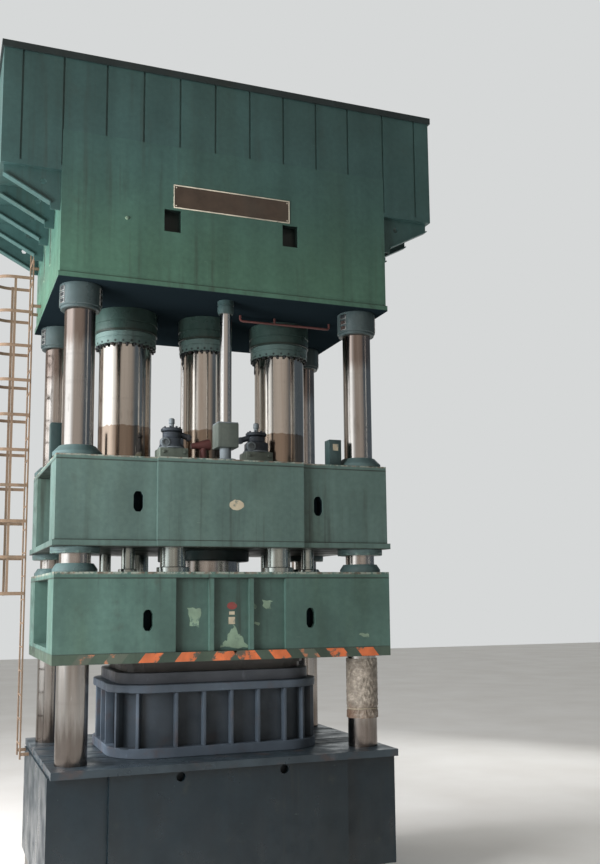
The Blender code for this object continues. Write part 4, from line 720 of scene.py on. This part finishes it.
def tool():
    """The die base with its ribs and cavity, and the die ring on it."""
    cavity, throat, lip, rib, rib_depth, corner = 0.75, 0.6, 0.05, 0.045, 0.18, 0.62
    low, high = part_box("die_base")
    width, depth, base, top = high.x - low.x, high.y - low.y, low.z, high.z

    def outline(inset):
        corners = rounded(width - 2 * inset, depth - 2 * inset, corner - inset)
        points = []
        for i, (x, y) in enumerate(corners):
            ahead = corners[(i + 1) % len(corners)]
            parts = 16 if (i + 1) % (len(corners) // 4) == 0 else 1
            points += [(x + (ahead[0] - x) * k / parts, y + (ahead[1] - y) * k / parts) for k in range(parts)]
        return points

    def outside(levels):
        return [[(x, y, z) for x, y in outline(inset)] for inset, z in levels]

    def bore(levels):
        return [[(radius * x / math.hypot(x, y), radius * y / math.hypot(x, y), z) for x, y in outline(0)]
                for radius, z in levels]

    levels = [(0.008, top), (0, top - 0.008), (0, top - 0.107), (0.008, top - 0.115), (0.15, top - 0.115),
              (0.15, base + 0.14), (0.008, base + 0.14), (0, base + 0.132), (0, base + 0.008), (0.008, base)]
    form = Form().skin(outside(levels) + bore([(cavity, base), (cavity, top)]))
    foot, head, half = base + 0.1, top - 0.1, rib / 2
    for side in (-1, 1):
        edge = side * (depth / 2 - 0.02)
        for x in (-0.70, -0.29, 0.12, 0.53, 0.94):
            form.box((x - half, edge, foot), (x + half, edge - side * rib_depth, head), 0.006)
        edge = side * (width / 2 - 0.02)
        for y in (-0.41, 0, 0.41):
            form.box((edge, y - half, foot), (edge - side * rib_depth, y + half, head), 0.006)
    for quarter, (sx, sy) in enumerate(QUARTERS):
        for degrees in (27, 63):
            centre = (sx * (width / 2 - corner), sy * (depth / 2 - corner), 0)
            place = spun(centre, 90 * quarter + degrees, corner - 0.02 - rib_depth / 2)
            form.box((-rib_depth / 2, -half, foot), (rib_depth / 2, half, head), 0.006, place)
    form.done("ribbed_die_base", die_iron, "dark_cast_iron", "die_base")

    low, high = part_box("die_ring")
    base, top = low.z, high.z
    curve = [math.radians(a) for a in range(0, 91, 15)]
    mouth = [(throat + lip * (1 - math.cos(a)), top - lip * (1 - math.sin(a))) for a in curve]
    levels = [(0.128, top), (0.12, top - 0.008), (0.12, base + 0.008), (0.128, base)]
    form = Form().skin(outside(levels) + bore([(throat, base)] + mouth))
    form.done("round_cornered_die_ring", die_ring_iron, "dark_cast_iron", "die_ring")


def punch():
    """Smooth round forms for the punch and its holder plate."""
    radius, dome, plate, sides = 0.55, 0.22, 0.72, 96
    _, _, low, high, _ = upright("punch")
    curve = [(radius * math.cos(math.radians(a)), low + dome * (1 - math.sin(math.radians(a))))
             for a in range(0, 90, 6)]
    form = Form().turned([(0, high), (radius, high)] + curve + [(0, low)], sides=sides)
    form.done("domed_punch", column_steel, "ground_steel", "punch", "draw_slide")
    form = Form().lathe("punch_holder", [(0, 0)], [(0, 0.012), (0.012, 0)], plate, sides=sides)
    form.done("punch_plate", dark_green, "dark_cast_iron", "punch_holder", "draw_slide")


# Marks

def mark(name, look, patches, body="blank_holder"):
    """Flat patches on front faces, each with its (x, z) outline, anticlockwise, and its face's y."""
    form = Form()
    for points, y in patches:
        form.prism(points, 0, PROUD, facing_front(0, y, 0))
    form.done(name, look, "green_paint", body=body)


def stripes():
    """Slanted orange stripes on the base plate, leaning towards the middle."""
    low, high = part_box("blank_holder_base_plate")
    bottom, top, lean = low.z + 0.004, high.z - 0.004, 0.8

    def leaning(slope, *spans):
        shift = slope * (top - bottom)
        return [([(start, bottom), (end, bottom), (end + shift, top), (start + shift, top)], low.y)
                for start, end in spans]

    mark("orange_stripes", orange_mark,
         leaning(lean, (-1.34, -1.08), (-0.83, -0.55), (-0.32, -0.02)) +
         leaning(-lean, (0.12, 0.44), (0.65, 0.92), (1.55, 1.83), (2.03, 2.31)))
    mark("faded_stripes", faded_mark,
         leaning(lean, (-2.24, -2.03), (-1.82, -1.57)) + leaning(-lean, (1.12, 1.36)))


def ellipse(x, z, width, height, steps=28):
    angles = [2 * math.pi * i / steps for i in range(steps)]
    return [(x + width / 2 * math.cos(angle), z + height / 2 * math.sin(angle)) for angle in angles]


def ragged(points, amount, seed, cuts):
    """An outline whose edges are torn: each is cut up and its points are shaken."""
    chance = random.Random(seed)
    torn = []
    for (x, z), ahead in zip(points, points[1:] + points[:1]):
        for k in range(cuts):
            share = k / cuts
            torn.append((x + (ahead[0] - x) * share + chance.uniform(-amount, amount),
                         z + (ahead[1] - z) * share + chance.uniform(-amount, amount)))
    return torn


def paint_marks():
    """Bare patches, torn stickers and painted spots on the faces of the two slides."""
    upper, lower, lower_side = -1.61, -1.485, -1.56
    badge = ragged(ellipse(0.055, 5.63, 0.23, 0.15, 14), 0.006, 3, 2)
    mark("upper_slide_bare_badge", beige_mark, [(badge, upper)], "draw_slide")
    torn = (
        ([(-0.595, 3.923), (-0.464, 3.893), (-0.436, 4.145), (-0.641, 4.175)], 0.014, 4, 5),
        ([(-0.155, 3.60), (0.278, 3.59), (0.17, 3.74), (0.12, 3.80), (0.053, 3.926), (-0.02, 3.79),
          (-0.06, 3.70)], 0.02, 9, 5),
        ([(0.50, 4.15), (0.62, 4.13), (0.60, 4.20), (0.64, 4.25), (0.49, 4.26)], 0.014, 6, 3),
        ([(0.36, 3.92), (0.43, 3.90), (0.44, 3.94), (0.37, 3.95)], 0.008, 8, 2),
        ([(0.33, 4.16), (0.38, 4.13), (0.40, 4.18), (0.36, 4.22)], 0.01, 12, 3),
        ([(0.30, 3.72), (0.36, 3.70), (0.35, 3.78)], 0.01, 13, 3))
    beside = [(1.98, 3.74), (2.06, 3.70), (2.16, 3.69), (2.12, 3.75), (2.04, 3.77)]
    mark("torn_pale_patches", pale_mark_and_highlight,
         [(ragged(*values), lower) for values in torn] + [(ragged(beside, 0.012, 11, 3), lower_side)])
    mark("red_oval_spot", red_mark, [(ellipse(0.023, 4.186, 0.15, 0.105), lower)])
    mark("beige_square_spot", beige_mark,
         [([(left, low), (right, low), (right, high), (left, high)], lower)
          for left, right, low, high in ((-0.028, 0.068, 3.926, 4.026), (-0.02, 0.062, 4.06, 4.105))])


def hole_rims():
    """Smooth rims round the obround holes in the faces of both slides."""
    outer, inner = rounded(0.18, 0.34, 0.0899, 12), rounded(0.138, 0.298, 0.0689, 12)
    rings = [[(x, y, height) for x, y in outline]
             for outline, height in ((outer, -0.002), (outer, PROUD), (inner, PROUD), (inner, -0.02))]
    for node, body, look, away, z, face in (
            ("main_slide", "draw_slide", slide_green, 1.36, 5.6541, 1.525),
            ("blank_holder_slide", "blank_holder", lower_green, 1.21, 3.9991, 1.56)):
        form = Form()
        for sx, sy in QUARTERS:
            form.skin(rings, at((sx * away, sy * face, z)) @ turning("X", -90 * sy))
        form.done(node + "_hole_rims", look, "green_paint", body=body)


def crown_trim():
    """Two dark strips of painted shadow in pale frames of painted highlight on the crown's left face, and a
    small plug in front.
    """
    edges, slot_shadows = Form(), Form()
    face, low, high, width, edge = crown_low.x + 0.02, 9.37, 9.95, 0.08, 0.02
    # Each dark box is painted shadow between flanges, and the pale frame round it is painted highlight on
    # their lit edges.
    for y in (-0.36, 0.44):
        edges.box((face - PROUD, y - edge, low - edge), (face + 0.002, y + width + edge, high + edge))
        slot_shadows.box((face - 2 * PROUD, y, low), (face + 0.001, y + width, high))
    edges.turned([(0, 0.02), (0.02, 0.02), (0.026, 0.012), (0.026, 0), (0, 0)], 24,
                 facing_front(-1.594, -1.59, 9.751))
    edges.done("slot_highlights_and_plug", pale_mark_and_highlight, "green_paint")
    slot_shadows.done("crown_side_slot_shadows", black_iron_and_shade, "dark_cast_iron")


def nameplate():
    """The bare nameplate on the crown: a dark field in a thin pale frame, with screws."""
    y, half, low, high, bar = -1.59, 0.91, 10.0, 10.36, 0.015
    form = Form().box((-half + 0.02, y - 0.006, low + 0.02), (half - 0.02, y + 0.002, high - 0.02))
    form.done("nameplate_bare_field", plate_field, "dark_green_paint")
    form = Form()
    for start, end in (((-half, high - bar), (half, high)), ((-half, low), (half, low + bar)),
                       ((-half, low + bar), (bar - half, high - bar)),
                       ((half - bar, low + bar), (half, high - bar))):
        form.box((start[0], y - 0.012, start[1]), (end[0], y + 0.001, end[1]), 0.002)
    for x in (0.04 - half, half - 0.04):
        for z in (low + 0.04, high - 0.04):
            form.turned([(0, 0.012), (0.008, 0.012), (0.011, 0.006), (0, 0.006)], 12, facing_front(x, y, z))
    form.done("nameplate_frame", plate_frame, "bright_bolt_steel")


# Ladder

def ladder():
    """Ladder, brackets and cage, with round rungs and smooth hoops."""
    x, y, half, rung_pitch = -2.66, 1.10, 0.25, 0.37
    radius, thick, band, hoop_pitch, highest_hoop = 0.33, 0.008, 0.05, 0.565, 9.70
    low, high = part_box("access_ladder")
    form = Form()
    rails = (y - half, y + half)
    for rail_y in rails:
        form.box((x - 0.0125, rail_y - 0.015, low.z), (x + 0.0125, rail_y + 0.015, high.z), 0.002)
    z = high.z - 0.12
    while z > low.z + 0.1:
        form.rod((x, rails[0], z), (x, rails[1], z), 0.012, 10)
        z -= rung_pitch
    crown_wall = crown_low.x + 0.021
    for z, wall in ((crown_low.z + 0.25, crown_wall), (crown_low.z + 1.05, crown_wall),
                    (low.z + 0.05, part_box("bed")[0].x)):
        for rail_y in rails:
            form.box((x, rail_y - 0.01, z), (wall - 0.0005, rail_y + 0.01, z + 0.05), 0.003)

    rail = x - 0.0085
    centre = rail - 0.30
    angles = [math.radians(a) for a in range(90, 271, 10)]
    path = [(rail, radius - 0.12), (rail, radius)]
    path += [(centre + radius * math.cos(angle), radius * math.sin(angle)) for angle in angles]
    path += [(rail, -radius), (rail, 0.12 - radius)]
    inner = []
    for behind, (px, py), ahead in zip(path[:1] + path, path, path[1:] + path[-1:]):
        along = (Vector(ahead) - Vector(behind)).normalized()
        inner.append((px + thick * along.y, py - thick * along.x))
    loop = [(px, py + y) for px, py in path + inner[::-1]]
    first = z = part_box("bolster")[1].z + 2.30
    while z < highest_hoop:
        form.prism(loop, z, z + band)
        last = z + band
        z += hoop_pitch
    reach = radius - 0.011
    for px, py, turn in ((centre - reach, y, 0), (centre + 0.03, y - reach, 90),
                         (centre + 0.03, y + reach, 90)):
        form.box((-0.003, -0.02, first - 0.004), (0.003, 0.02, last + 0.004), 0.0, spun((px, py, 0), turn))
    form.done("fine_access_ladder", rust_paint, "rusty_ladder_paint", "access_ladder")


# Film round the column

def film_look(low, high):
    """Dusty crinkled film, rust-stained towards its lower end."""
    made = Surface("stretch_film", 0.24)
    tone = made.ramp(made.noise(13, 7, (1, 1, 1.4), rough=0.65),
                     [(0.35, linear(108, 101, 92)), (0.5, linear(130, 122, 111)),
                      (0.66, linear(160, 152, 140))])
    rust = made.times(made.height(high - 0.4, low), made.noise(4, 5, shift=4))
    made.set("Base Color", made.mix(made.span(rust, 0.22, 0.6, 0.0, 0.8), tone, linear(92, 66, 50)))
    made.bump(made.noise(30, 6, (1, 1, 1.3), rough=0.65), 0.008, 0.8)
    return made.material


def column_film():
    """Crinkled film wrapped round the front right column, tied with a cord."""
    x, y, low, high, outer = upright("column_wrap")
    sides, rows, inner = 160, 150, COLUMN_RADIUS + 0.002
    tie = low + 0.14
    points, faces = [], []
    for j in range(rows + 1):
        z = low + (high - low) * j / rows
        pinch = math.exp(-((z - tie) / 0.03) ** 2)
        for i in range(sides):
            angle = 2 * math.pi * i / sides
            spot = Vector((4.5 * math.cos(angle), 4.5 * math.sin(angle), 9 * (z + 0.35 * math.sin(angle))))
            fold = 1 - abs(noise.noise(spot) * 2.2)
            fine = 1 - abs(noise.noise(spot * 3.1 + Vector((5, 1, 2))) * 2.0)
            share = max(0.0, min(1.0, 0.25 + 0.5 * fold + 0.3 * fine - 0.9 * pinch))
            radius = inner + (outer - inner - 0.001) * share
            points.append((x + radius * math.cos(angle), y + radius * math.sin(angle), z))
    for start in range(0, rows * sides, sides):
        for i in range(sides):
            k = (i + 1) % sides
            faces.append((start + i, start + k, start + sides + k, start + sides + i))
    mesh = bpy.data.meshes.new("column_film")
    mesh.from_pydata(points, [], faces)
    mesh.shade_smooth()
    film = bpy.data.objects.new("column_film", mesh)
    adopt(film, film_look(low, high), "column_wrap", "frame")

    form = Form((x, y, tie))
    sides, radius = 48, COLUMN_RADIUS + 0.014
    angles = [2 * math.pi * i / sides for i in range(sides + 1)]
    cord = [(radius * math.cos(a), radius * math.sin(a), 0.004 * math.sin(3 * a)) for a in angles]
    for start, end in zip(cord, cord[1:]):
        form.rod(start, end, 0.006, 8)
    form.done("film_tie", beige_mark, "beige_film")


# Ground, light and camera

def stage():
    """A pale floor and sky, and a dim hall for the polished steel to reflect."""
    mesh = bpy.data.meshes.new("floor")
    size = 60
    mesh.from_pydata([(sx * size, sy * size, 0) for sx, sy in QUARTERS], [], [(0, 1, 2, 3)])
    floor = bpy.data.objects.new("floor", mesh)
    bpy.context.scene.collection.objects.link(floor)
    made = Surface("pale_floor", 0.85)
    made.set("Base Color", made.ramp(made.noise(0.4, 3), [(0.3, linear(205, 203, 198)),
                                                          (0.7, linear(214, 213, 209))]))
    mesh.materials.append(made.material)

    world = bpy.data.worlds.new("soft_light")
    bpy.context.scene.world = world
    world.use_nodes = True
    sky = Nodes(world.node_tree, "Generated")
    angle = sky.math("ARCTAN2", sky.axis("Y"), sky.axis("X"))
    window, hall = (1.75, 1.78, 1.8, 1), (0.44, 0.39, 0.35, 1)
    gloom, lit, haze = (0.085, 0.105, 0.125, 1), (0.95, 0.95, 0.9, 1), (0.66, 0.69, 0.69, 1)
    bands = [(0.0, window), (0.06, window), (0.085, shade(window, 0.55)), (0.13, hall), (0.24, hall),
             (0.30, shade(hall, 0.7)), (0.345, gloom), (0.393, gloom), (0.397, lit), (0.403, lit),
             (0.407, gloom), (0.5, gloom), (0.62, gloom), (0.66, haze), (0.74, haze),
             (0.79, shade(hall, 0.6)), (0.87, hall), (0.905, shade(hall, 0.6)), (0.92, window), (1.0, window)]
    around = sky.ramp(sky.math("ADD", sky.math("DIVIDE", angle, 2 * math.pi), 0.5), bands)
    seen = sky.node("ShaderNodeLightPath").outputs["Is Camera Ray"]
    background = world.node_tree.nodes["Background"]
    sky.feed(background.inputs["Color"], sky.mix(seen, around, linear(214, 216, 216)))
    sky.feed(background.inputs["Strength"], 1.0)


def lamp(name, place, target, size, power, tint):
    """A soft lamp that the camera and the polished steel don't see."""
    light = bpy.data.lights.new(name, "AREA")
    light.shape = "RECTANGLE"
    light.size, light.size_y = size
    light.energy = power
    light.color = tint
    obj = bpy.data.objects.new(name, light)
    obj.location = place
    obj.rotation_euler = (Vector(target) - Vector(place)).to_track_quat("-Z", "Y").to_euler()
    obj.visible_camera = False
    obj.visible_glossy = False
    bpy.context.scene.collection.objects.link(obj)


def camera():
    """The photograph's view: from low at the front left, looking slightly up."""
    place, yaw, pitch, roll = (-4.065, -14.965, 4.287), 20.92, 7.534, -0.496
    turn = turning("Z", -yaw) @ turning("X", 90 + pitch) @ turning("Z", roll)
    data = bpy.data.cameras.new("camera")
    data.sensor_fit = "VERTICAL"
    data.sensor_height = 36
    data.lens = 40.311
    data.shift_y = 0.0441
    data.clip_end = 300
    obj = bpy.data.objects.new("camera", data)
    obj.matrix_world = at(place) @ turn
    bpy.context.scene.collection.objects.link(obj)
    bpy.context.scene.camera = obj


def node_looks():
    """Materials for the CAD nodes that stay as they are, by their kind."""
    for name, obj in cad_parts.items():
        kind = re.sub("_(left|right|(front|rear)_(left|right))$", "", name)
        if kind in NODE_LOOKS:
            obj.data.materials.clear()
            obj.data.materials.append(NODE_LOOKS[kind])


node_looks()
columns()
collars()
covers()
rams()
hanging_rags()
rods()
return_blocks()
valve_blocks()
filling_funnel()
cabinets()
pipe()
tool()
punch()
stripes()
paint_marks()
hole_rims()
crown_trim()
nameplate()
ladder()
column_film()
stage()
lamp("key", (-9.0, -5.5, 6.0), (-1, 0, 5.5), (4, 6), 1650, (0.98, 0.98, 1.0))
lamp("side", (-14, 1, 9), (-2, 0, 8), (5, 6), 4200, (1.0, 0.97, 1.0))
lamp("front", (-2, -22, 10), (0, 0, 6), (8, 6), 220, (1.0, 0.98, 0.95))
lamp("fill", (13, 9, 8), (0, 0, 6), (8, 8), 800, (1.0, 1.0, 1.0))
bpy.context.scene.view_settings.view_transform = "Standard"
camera()
